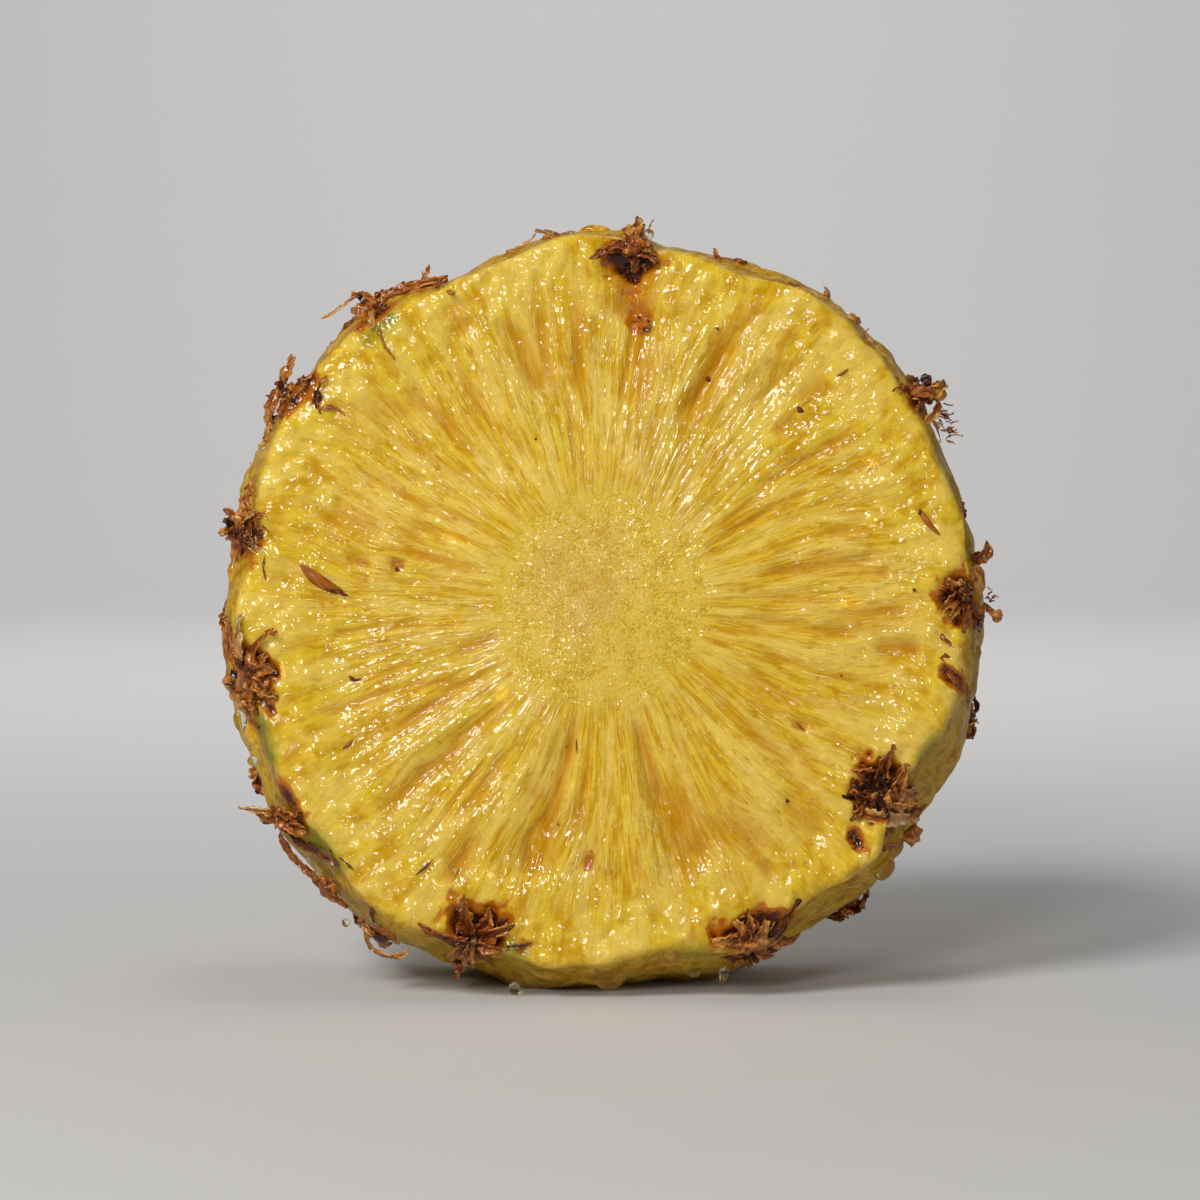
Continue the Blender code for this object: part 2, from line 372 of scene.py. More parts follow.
FRONT_MARKS = (
    # the core's tan middle
    FaceMark(MarkKind.CREAM, 305.0, 4.6, 15.0, 12.0, 0.0, 1.0),
    FaceMark(MarkKind.CREAM, 352.0, 6.5, 9.0, 9.0, 0.0, 0.8),
    FaceMark(MarkKind.CREAM, 235.0, 3.0, 9.0, 7.0, 0.0, 0.9),
    # the hollow under the top eye, and the deep gap that runs down from it
    FaceMark(MarkKind.PIT, 5.5, 42.0, 9.0, 7.0, 1.9, 0.9),
    FaceMark(MarkKind.GAP, 8.5, 34.0, 15.0, 3.6, 1.5, 0.9),
    FaceMark(MarkKind.CREAM, 14.6, 32.0, 14.0, 2.8, -0.3, 0.8),
    FaceMark(MarkKind.CREAM, 358.5, 40.5, 5.0, 3.0, 0.0, 0.7),
    # right of it, a deep gap with a lit bundle along its right edge
    FaceMark(MarkKind.GAP, 24.8, 33.5, 13.0, 2.6, 1.9, 1.0, 4.0),
    FaceMark(MarkKind.PIT, 25.5, 36.0, 5.0, 1.8, 0.6, 0.5, 4.0),
    FaceMark(MarkKind.RIDGE, 31.5, 35.0, 18.0, 3.0, -0.8, 0.8, 12.0),
    FaceMark(MarkKind.GAP, 27.0, 42.5, 6.0, 2.2, 0.7, 0.6, 20.0),
    # upper right
    FaceMark(MarkKind.PIT, 46.1, 33.9, 4.6, 2.0, 1.1, 0.8, 8.0),
    FaceMark(MarkKind.POCKET, 45.3, 39.8, 5.0, 2.8, 1.3, 0.8, 6.0),
    FaceMark(MarkKind.GAP, 38.5, 37.5, 10.0, 1.6, 0.8, 0.6, 8.0),
    FaceMark(MarkKind.GAP, 55.0, 33.0, 16.0, 1.4, 0.7, 0.6, 4.0),
    FaceMark(MarkKind.CREAM, 66.5, 38.5, 8.0, 4.0, -0.2, 0.7, 5.0),
    FaceMark(MarkKind.GAP, 62.0, 27.0, 9.0, 1.2, 0.5, 0.5),
    FaceMark(MarkKind.PIT, 74.0, 34.0, 7.0, 2.0, 0.7, 0.4),
    FaceMark(MarkKind.GAP, 81.0, 29.0, 18.0, 1.5, 0.7, 0.7),
    FaceMark(MarkKind.GAP, 88.5, 24.5, 12.0, 1.1, 0.6, 0.5),
    # right and lower right
    FaceMark(MarkKind.GAP, 97.5, 27.0, 16.0, 1.5, 1.0, 0.6, 2.0),
    FaceMark(MarkKind.CREAM, 84.0, 36.0, 15.0, 5.0, -0.2, 0.6, 3.0),
    FaceMark(MarkKind.CREAM, 93.5, 32.0, 16.0, 4.4, -0.2, 0.7, 2.0),
    FaceMark(MarkKind.CREAM, 103.5, 31.0, 14.0, 4.6, -0.2, 0.7, -2.0),
    FaceMark(MarkKind.POCKET, 99.6, 39.8, 6.4, 3.2, 1.6, 1.0, -4.0),
    FaceMark(MarkKind.CREAM, 92.0, 42.5, 5.0, 4.0, -0.2, 0.5),
    FaceMark(MarkKind.GAP, 108.0, 31.0, 20.0, 1.3, 0.6, 0.6, -3.0),
    FaceMark(MarkKind.GAP, 118.0, 24.0, 12.0, 1.2, 0.6, 0.6),
    FaceMark(MarkKind.PIT, 123.0, 31.0, 2.6, 1.0, 0.9, 1.0, -20.0),
    FaceMark(MarkKind.GAP, 131.5, 27.0, 16.0, 1.6, 0.8, 0.7),
    FaceMark(MarkKind.RIDGE, 137.0, 28.0, 12.0, 2.2, -0.5, 0.7, -6.0),
    FaceMark(MarkKind.CREAM, 137.0, 44.0, 5.0, 3.0, -0.1, 0.6),
    FaceMark(MarkKind.POCKET, 137.0, 39.0, 8.0, 5.0, 0.7, 0.5),
    # bottom
    FaceMark(MarkKind.GAP, 164.5, 23.0, 13.0, 2.0, 1.3, 0.9, -2.0),
    FaceMark(MarkKind.GAP, 160.5, 31.5, 13.0, 5.6, 1.4, 0.9, -4.0),
    FaceMark(MarkKind.PIT, 159.5, 36.6, 4.4, 2.8, 0.7, 0.5),
    FaceMark(MarkKind.CREAM, 156.0, 39.5, 8.0, 4.4, -0.1, 0.8),
    FaceMark(MarkKind.GAP, 149.0, 40.0, 7.0, 2.4, 0.8, 0.8, -6.0),
    FaceMark(MarkKind.RIDGE, 150.0, 33.0, 16.0, 2.0, -0.5, 0.6),
    FaceMark(MarkKind.RIDGE, 170.5, 33.0, 20.0, 3.2, -0.6, 0.8),
    FaceMark(MarkKind.CREAM, 183.1, 34.4, 7.0, 3.4, -0.2, 0.8),
    FaceMark(MarkKind.STAIN, 183.4, 34.6, 4.4, 1.8, 0.5, 0.4, 12.0),
    FaceMark(MarkKind.GAP, 193.3, 24.0, 16.0, 1.8, 1.4, 1.0, 1.0),
    FaceMark(MarkKind.GAP, 194.5, 33.5, 10.0, 4.4, 1.7, 1.0, 2.0),
    FaceMark(MarkKind.PIT, 197.0, 34.0, 5.0, 2.2, 0.7, 0.5),
    FaceMark(MarkKind.RIDGE, 203.0, 25.0, 18.0, 3.4, -0.6, 0.9, 4.0),
    FaceMark(MarkKind.POCKET, 208.7, 38.9, 8.0, 2.6, 1.2, 1.0, 3.0),
    FaceMark(MarkKind.CREAM, 215.0, 38.0, 6.0, 2.6, -0.2, 0.6),
    FaceMark(MarkKind.GAP, 213.0, 29.0, 12.0, 1.6, 1.0, 0.8, 4.0),
    # left
    FaceMark(MarkKind.GAP, 225.5, 30.0, 22.0, 1.9, 1.0, 0.8, 3.0),
    FaceMark(MarkKind.GAP, 238.5, 28.0, 12.0, 2.0, 1.0, 0.9, 2.0),
    FaceMark(MarkKind.CREAM, 232.0, 31.0, 14.0, 2.4, -0.3, 0.6),
    FaceMark(MarkKind.GAP, 247.0, 33.0, 16.0, 1.6, 0.7, 0.6, 4.0),
    FaceMark(MarkKind.POCKET, 251.0, 18.0, 7.0, 2.0, 0.5, 0.7),
    FaceMark(MarkKind.GAP, 263.0, 31.0, 14.0, 1.2, 0.5, 0.5),
    FaceMark(MarkKind.PIT, 279.0, 33.2, 3.8, 1.5, 0.8, 0.8, 4.0),
    FaceMark(MarkKind.PIT, 280.0, 27.9, 2.4, 1.6, 1.1, 1.0),
    FaceMark(MarkKind.CREAM, 277.5, 30.0, 3.0, 4.4, -0.8, 0.9),
    FaceMark(MarkKind.POCKET, 287.0, 35.0, 9.0, 4.0, 0.6, 0.8, 6.0),
    FaceMark(MarkKind.CREAM, 291.0, 29.9, 9.0, 2.2, -0.4, 1.0, 2.0),
    FaceMark(MarkKind.GAP, 284.0, 22.0, 12.0, 1.6, 0.8, 0.8, 2.0),
    FaceMark(MarkKind.GAP, 298.0, 30.0, 16.0, 1.3, 0.6, 0.6),
    FaceMark(MarkKind.CREAM, 307.6, 39.7, 8.0, 6.0, -0.1, 0.7),
    FaceMark(MarkKind.PIT, 312.7, 37.4, 3.4, 1.6, 0.6, 0.6),
    FaceMark(MarkKind.GAP, 318.0, 32.0, 14.0, 1.8, 0.9, 0.8, -3.0),
    FaceMark(MarkKind.RIDGE, 323.5, 30.0, 18.0, 2.0, -0.5, 0.8, -2.0),
    FaceMark(MarkKind.GAP, 327.5, 31.0, 12.0, 1.3, 0.6, 0.6),
    FaceMark(MarkKind.CREAM, 336.5, 30.5, 13.0, 3.6, -0.3, 1.0, -2.0),
    FaceMark(MarkKind.GAP, 342.0, 34.5, 12.0, 2.8, 1.3, 0.9, -9.0),
    FaceMark(MarkKind.POCKET, 333.0, 43.0, 5.0, 4.4, 0.5, 0.6),
    FaceMark(MarkKind.GAP, 350.0, 31.0, 18.0, 1.2, 0.5, 0.6),
    # unripe green beside the eyes
    FaceMark(MarkKind.GREEN, 320.5, 47.6, 7.0, 2.6, 0.0, 1.0, 84.0),
    FaceMark(MarkKind.GREEN, 13.5, 49.2, 6.0, 2.0, 0.0, 0.6, 84.0),
    FaceMark(MarkKind.GREEN, 280.5, 48.4, 6.0, 2.6, 0.0, 0.9, 90.0),
    FaceMark(MarkKind.GREEN, 248.0, 48.8, 9.0, 2.6, 0.0, 1.0, 94.0),
    FaceMark(MarkKind.GREEN, 228.0, 50.0, 9.0, 3.0, 0.0, 1.0, 90.0),
    FaceMark(MarkKind.GREEN, 195.0, 48.0, 6.0, 2.0, 0.0, 0.8, 90.0),
    FaceMark(MarkKind.GREEN, 165.0, 48.2, 6.0, 2.0, 0.0, 0.6, 90.0),
    FaceMark(MarkKind.GREEN, 114.5, 47.6, 5.0, 2.0, 0.0, 0.8, 90.0),
    FaceMark(MarkKind.GREEN, 68.0, 49.4, 12.0, 2.0, 0.0, 0.4, 90.0),
    # brown flesh round the cut-open eyes
    FaceMark(MarkKind.STAIN, 4.5, 46.2, 8.5, 8.5, 1.6, 1.0),
    FaceMark(MarkKind.STAIN, 7.5, 38.0, 6.0, 4.0, 0.6, 0.45),
    FaceMark(MarkKind.STAIN, 124.5, 45.0, 10.5, 10.5, 4.6, 1.0),
    FaceMark(MarkKind.STAIN, 133.6, 46.0, 5.4, 3.0, 1.4, 0.75, 20.0),
    FaceMark(MarkKind.STAIN, 155.5, 48.0, 6.0, 11.5, 2.2, 1.0, 4.0),
    FaceMark(MarkKind.STAIN, 200.5, 46.8, 8.5, 10.0, 2.2, 1.0),
    FaceMark(MarkKind.STAIN, 237.0, 50.5, 5.0, 14.0, 1.2, 0.9),
    FaceMark(MarkKind.STAIN, 257.5, 47.8, 6.5, 10.0, 1.6, 1.0),
    FaceMark(MarkKind.STAIN, 280.5, 49.0, 6.0, 9.0, 1.6, 1.0),
    FaceMark(MarkKind.STAIN, 304.5, 50.0, 5.0, 9.0, 1.2, 0.8),
    FaceMark(MarkKind.STAIN, 321.5, 50.0, 5.0, 9.0, 1.0, 0.8),
    FaceMark(MarkKind.STAIN, 89.5, 48.0, 8.0, 9.0, 2.4, 1.0),
    FaceMark(MarkKind.STAIN, 57.0, 51.0, 5.5, 8.0, 1.4, 0.9),
    FaceMark(MarkKind.STAIN, 102.5, 47.6, 6.0, 2.4, 0.6, 0.8, 30.0),
)


BACK_MARKS = (
    # the core's tan middle
    FaceMark(MarkKind.CREAM, 130.0, 4.0, 14.0, 11.0, 0.0, 1.0),
    FaceMark(MarkKind.CREAM, 20.0, 5.0, 9.0, 8.0, 0.0, 0.8),
    # splits and proud bundles
    FaceMark(MarkKind.GAP, 12.0, 30.0, 16.0, 2.4, 1.4, 0.9, 3.0),
    FaceMark(MarkKind.RIDGE, 19.0, 31.0, 16.0, 2.6, -0.6, 0.8, 4.0),
    FaceMark(MarkKind.GAP, 58.0, 27.0, 14.0, 1.6, 0.9, 0.8),
    FaceMark(MarkKind.GAP, 96.0, 32.0, 18.0, 2.0, 1.2, 0.9, -4.0),
    FaceMark(MarkKind.GAP, 151.0, 29.0, 14.0, 3.0, 1.5, 0.9, 2.0),
    FaceMark(MarkKind.GAP, 213.0, 31.0, 16.0, 2.2, 1.2, 0.9, -3.0),
    FaceMark(MarkKind.RIDGE, 222.0, 29.0, 18.0, 3.0, -0.6, 0.8),
    FaceMark(MarkKind.GAP, 262.0, 26.0, 14.0, 1.6, 0.9, 0.8, 4.0),
    FaceMark(MarkKind.GAP, 318.0, 32.0, 15.0, 2.4, 1.3, 0.9),
    FaceMark(MarkKind.CREAM, 75.0, 33.0, 14.0, 4.6, -0.3, 0.8, 4.0),
    FaceMark(MarkKind.CREAM, 185.0, 35.0, 12.0, 4.2, -0.3, 0.8),
    FaceMark(MarkKind.CREAM, 290.0, 31.0, 14.0, 4.0, -0.3, 0.8, -4.0),
    # hollows and cut-open eyes
    FaceMark(MarkKind.POCKET, 40.0, 38.5, 7.0, 3.2, 1.4, 1.0),
    FaceMark(MarkKind.POCKET, 238.0, 38.0, 7.0, 3.4, 1.4, 1.0, 5.0),
    FaceMark(MarkKind.PIT, 124.0, 36.0, 5.0, 2.4, 1.2, 0.9, 6.0),
    FaceMark(MarkKind.PIT, 338.0, 37.0, 4.6, 2.2, 1.1, 0.9, -5.0),
    FaceMark(MarkKind.STAIN, 29.0, 48.6, 5.6, 8.0, 1.4, 0.8),
    FaceMark(MarkKind.STAIN, 110.0, 48.4, 6.4, 9.0, 1.6, 0.8),
    FaceMark(MarkKind.STAIN, 200.0, 48.6, 5.0, 7.0, 1.2, 0.7),
    FaceMark(MarkKind.STAIN, 276.0, 48.4, 6.0, 9.0, 1.5, 0.8),
    FaceMark(MarkKind.GREEN, 70.0, 46.4, 9.0, 2.6, 0.0, 0.8, 90.0),
    FaceMark(MarkKind.GREEN, 250.0, 46.2, 8.0, 2.4, 0.0, 0.8, 90.0),
)


@dataclass
class Looks:
    """What the flesh looks like at each corner: masks from 0 to 1, and the fibres' labels."""

    core: Array
    gap: Array
    cream: Array
    green: Array
    brown: Array
    outer: Array
    rim: Array
    strand: Array

    FIELDS = ("core", "gap", "cream", "green", "brown", "outer", "rim")


@dataclass(frozen=True)
class CutFace:
    """The relief and the looks of one cut face.

    Attributes:
        form: the fruit's form.
        seed: picks this face's fibres.
        marks: the marks listed on it.
        core_radius: axis to the core's edge.
        core_dome: how proud the core's middle stands.
        bundle_depth: how deep the widest splits between fibre bundles are.
        sag: how far the flesh sinks between core and rim.
    """

    form: FruitForm
    seed: int
    marks: tuple[FaceMark, ...] = ()
    core_radius: float = 14.2
    core_dome: float = 0.3
    bundle_depth: float = 0.55
    sag: float = 0.5

    def strand_angle(self, angle: Array, radius: Array) -> Array:
        """The angle at which the fibre through each place leaves the core.

        Fibres wander a little to the side on their way out.
        """
        reach = np.maximum(radius - self.core_radius, 0.0) / 36.0
        sway = 0.10 * Weave(self.seed, 11, 0.05).at(angle, radius)
        flutter = 0.045 * Weave(self.seed + 1, 31, 0.10).at(angle, radius)
        return angle + reach * (sway + flutter)

    def core_mask(self, angle: Array, radius: Array) -> Array:
        """1 inside the core, 0 outside, with a ragged edge."""
        ragged = 1.3 * Weave(self.seed + 2, 110, 0.18).at(angle, radius)
        ragged = ragged + 0.8 * Weave(self.seed + 3, 16, 0.1).at(angle, radius)
        return 1.0 - smooth_step(self.core_radius - 1.4, self.core_radius + 1.6, radius + ragged)

    def fissure(self, number: int, cells: int, pitch: float, width: float, angle: Array, radius: Array) -> Array:
        """Splits that wander outwards between bundles, opening and closing on the way.

        Args:
            number: tells this set of splits from the others.
            cells: how many cells of the pattern fit round the fruit.
            pitch: cells of it in a millimetre outwards.
            width: how wide a split is, as a share of the pattern's range.
            angle: radians of the fibre through each place.
            radius: distance from the axis.

        Returns:
            1 in the middle of a split, 0 between splits.
        """
        wander = Weave(self.seed + 20 + number, cells, pitch).at(angle, radius)
        open_here = Weave(self.seed + 40 + number, cells // 3, 0.09).at(angle, radius)
        return hill(wander, width) * smooth_step(-0.35, 0.45, open_here)

    def fibres(self, angle: Array, radius: Array) -> tuple[Array, Array]:
        """The relief of bundles and strands.

        Args:
            angle: radians of the fibre through each place.
            radius: distance from the axis.

        Returns:
            How far each place sinks, and how deep in a split it is, from 0 to 1.
        """
        window = smooth_step(14.0, 21.0, radius) * (1.0 - smooth_step(37.0, 44.0, radius))
        inner = smooth_step(13.5, 16.5, radius) * (1.0 - 0.8 * smooth_step(35.0, 42.0, radius))
        wide = self.fissure(0, 36, 0.055, 0.15, angle, radius) * window
        middle = self.fissure(1, 75, 0.07, 0.17, angle, radius) * inner
        narrow = self.fissure(2, 150, 0.10, 0.22, angle, radius) * inner
        swell = Weave(self.seed + 5, 42, 0.06).at(angle, radius) * window
        strand = Weave(self.seed + 6, 150, 0.14).at(angle, radius)
        fine = Weave(self.seed + 7, 330, 0.22).at(angle, radius)
        sunk = self.bundle_depth * wide + 0.18 * middle + 0.07 * narrow - 0.42 * swell
        sunk = sunk + (0.06 * strand + 0.02 * fine) * inner
        return sunk, np.clip(wide + 0.40 * middle + 0.10 * narrow, 0.0, 1.0)

    def shape(self, angle: Array, radius: Array, share: Array) -> tuple[Array, Looks]:
        """The relief and looks of the face.

        Args:
            angle: radians round the fruit.
            radius: distance from the axis.
            share: the same as a share of the distance to the rim.

        Returns:
            How far each place sinks into the slice, and its looks.
        """
        across, up = radius * np.sin(angle), radius * np.cos(angle)
        label = self.strand_angle(angle, radius)
        core = self.core_mask(angle, radius)
        sunk, valley = self.fibres(label, radius)
        sunk = sunk * (1.0 - core)
        sunk -= self.core_dome * (1.0 - smooth_step(0.0, self.core_radius, radius))
        sunk += self.sag * smooth_step(0.27, 0.55, share) * (1.0 - smooth_step(0.75, 1.0, share))
        grain = Weave(self.seed + 8, 240, 1.6).at(angle, radius)
        sunk += 0.03 * grain * core * smooth_step(1.0, 5.0, radius)
        outer = smooth_step(34.0, 44.0, radius)
        lumps = Weave(self.seed + 9, 110, 0.42).at(label, radius)
        swells = Weave(self.seed + 10, 40, 0.16).at(label, radius)
        knobs = Weave(self.seed + 11, 210, 0.8).at(label, radius) * smooth_step(0.80, 0.94, share)
        sunk += outer * (0.20 * lumps + 0.34 * swells + 0.26 * knobs)
        zero = np.zeros_like(angle)
        # The gap mask follows how deep each split is, so the amber it brings is partly painted shade in the splits.
        looks = Looks(core, 0.8 * valley, zero.copy(), zero.copy(), zero.copy(), outer, zero.copy(), zero)
        for mark in self.marks:
            mask = mark.mask(across, up)
            sunk += 0.6 * mark.depth * mask
            self.colour(looks, mark, mask)
        looks.strand = np.stack([np.cos(label), np.sin(label), radius / 50.0], axis=-1)
        return sunk, looks

    @staticmethod
    def colour(looks: Looks, mark: FaceMark, mask: Array) -> None:
        """Adds a mark's colour to the looks."""
        amount = mark.strength * mask
        if mark.kind in (MarkKind.GAP, MarkKind.PIT, MarkKind.POCKET):
            looks.gap = np.maximum(looks.gap, amount)
        if mark.kind in (MarkKind.CREAM, MarkKind.RIDGE):
            looks.cream = np.maximum(looks.cream, amount * (1.0 if mark.kind is MarkKind.CREAM else 0.5))
        if mark.kind is MarkKind.GREEN:
            looks.green = np.maximum(looks.green, amount)
        if mark.kind is MarkKind.PIT:
            looks.brown = np.maximum(looks.brown, 0.25 * amount)
        if mark.kind is MarkKind.STAIN:
            looks.brown = np.maximum(looks.brown, amount)


# ---------------------------------------------------------------- finishes


class NodeSheet:
    """Short calls that add nodes to one material."""

    def __init__(self, name: str) -> None:
        """Makes the material with its Principled shader."""
        self.material = bpy.data.materials.new(name)
        self.material.use_nodes = True
        self.tree = self.material.node_tree
        self.shader = self.tree.nodes["Principled BSDF"]

    def add(self, kind: str, settings: dict | None = None, **inputs: object) -> bpy.types.Node:
        """Adds a node.

        Args:
            kind: its type, without the leading ShaderNode.
            settings: properties to set on it.
            inputs: its sockets by name with spaces as _, each a value or a socket to link.

        Returns:
            The node.
        """
        node = self.tree.nodes.new("ShaderNode" + kind)
        for key, value in (settings or {}).items():
            setattr(node, key, value)
        for key, value in inputs.items():
            self.feed(node.inputs[key.replace("_", " ")], value)
        return node

    def feed(self, socket: bpy.types.NodeSocket, value: object) -> None:
        """Links a socket to another, or sets its value."""
        if isinstance(value, bpy.types.NodeSocket):
            self.tree.links.new(value, socket)
        else:
            socket.default_value = value

    def math(self, operation: str, first: object, second: object = 0.0, clamp: bool = False) -> bpy.types.NodeSocket:
        """One step of arithmetic on two values or sockets."""
        node = self.add("Math", {"operation": operation, "use_clamp": clamp})
        self.feed(node.inputs[0], first)
        self.feed(node.inputs[1], second)
        return node.outputs[0]

    def mix(self, factor: object, first: object, second: object, blend: str = "MIX") -> bpy.types.NodeSocket:
        """Mixes two colours by a factor."""
        node = self.add("Mix", {"data_type": "RGBA", "blend_type": blend})
        self.feed(node.inputs[0], factor)
        self.feed(node.inputs[6], first)
        self.feed(node.inputs[7], second)
        return node.outputs[2]

    def mix_values(self, factor: object, first: object, second: object) -> bpy.types.NodeSocket:
        """Mixes two numbers by a factor."""
        node = self.add("Mix", {"data_type": "FLOAT"})
        for socket, number in zip(node.inputs, (factor, None, first, second)):
            if number is not None:
                self.feed(socket, number)
        return node.outputs[0]

    def spread(self, value: object, low: float, high: float, to_low: float = 0.0, to_high: float = 1.0) -> bpy.types.NodeSocket:
        """Maps low..high to to_low..to_high with an S-curve, clamped."""
        node = self.add("MapRange", {"interpolation_type": "SMOOTHSTEP"})
        for socket, number in zip(node.inputs, (value, low, high, to_low, to_high)):
            self.feed(socket, number)
        return node.outputs[0]

    def mask(self, name: str) -> bpy.types.NodeSocket:
        """A mask that the mesh carries."""
        return self.add("Attribute", {"attribute_name": name}).outputs["Fac"]

    def object_place(self) -> bpy.types.NodeSocket:
        """The place on the object, in metres."""
        return self.add("TexCoord").outputs["Object"]

    def scaled(self, vector: object, factors: tuple[float, float, float]) -> bpy.types.NodeSocket:
        """A vector stretched by a factor along each axis."""
        node = self.add("VectorMath", {"operation": "MULTIPLY"})
        self.feed(node.inputs[0], vector)
        node.inputs[1].default_value = factors
        return node.outputs[0]

    def noise(self, vector: object, scale: float = 1.0, detail: float = 2.0, rough: float = 0.5) -> bpy.types.NodeSocket:
        """Cloudy random values at a place."""
        return self.add("TexNoise", Vector=vector, Scale=scale, Detail=detail, Roughness=rough).outputs["Fac"]

    def cells(self, vector: object) -> bpy.types.Node:
        """The distance from the walls of cells one unit across."""
        return self.add("TexVoronoi", {"feature": "DISTANCE_TO_EDGE"}, Vector=vector, Scale=1.0)

    def warp(self, vector: object, noise_value: object, amount: float) -> bpy.types.NodeSocket:
        """A vector pushed to the side by a noise, so that what reads it wanders."""
        push = self.add("CombineXYZ")
        for part in push.inputs[:2]:
            self.feed(part, self.math("MULTIPLY", noise_value, amount))
        node = self.add("VectorMath", {"operation": "ADD"})
        self.feed(node.inputs[0], vector)
        self.feed(node.inputs[1], push.outputs[0])
        return node.outputs[0]

    def total(self, *parts: tuple[object, float], clamp: bool = False) -> bpy.types.NodeSocket:
        """The sum of values times their weights; a part without a value is its weight."""
        total: object = 0.0
        for number, (value, weight) in enumerate(parts):
            last = clamp and number == len(parts) - 1
            if value is None:
                total = self.math("ADD", total, weight, last)
                continue
            node = self.add("Math", {"operation": "MULTIPLY_ADD", "use_clamp": last})
            for socket, number_or_socket in zip(node.inputs, (value, weight, total)):
                self.feed(socket, number_or_socket)
            total = node.outputs[0]
        return total

    def bump(self, height: object, distance: float, strength: float = 1.0, normal: object = None) -> bpy.types.NodeSocket:
        """Turns heights into a bent normal."""
        node = self.add("Bump", Strength=strength, Distance=distance, Height=height)
        if normal is not None:
            self.feed(node.inputs["Normal"], normal)
        return node.outputs["Normal"]


def colour(red: float, green: float, blue: float) -> tuple[float, float, float, float]:
    """A colour given as it is seen, from 0 to 255, as the shader's linear values."""
    linear = [((part / 255 + 0.055) / 1.055) ** 2.4 if part > 10 else part / 3294 for part in (red, green, blue)]
    return (linear[0], linear[1], linear[2], 1.0)


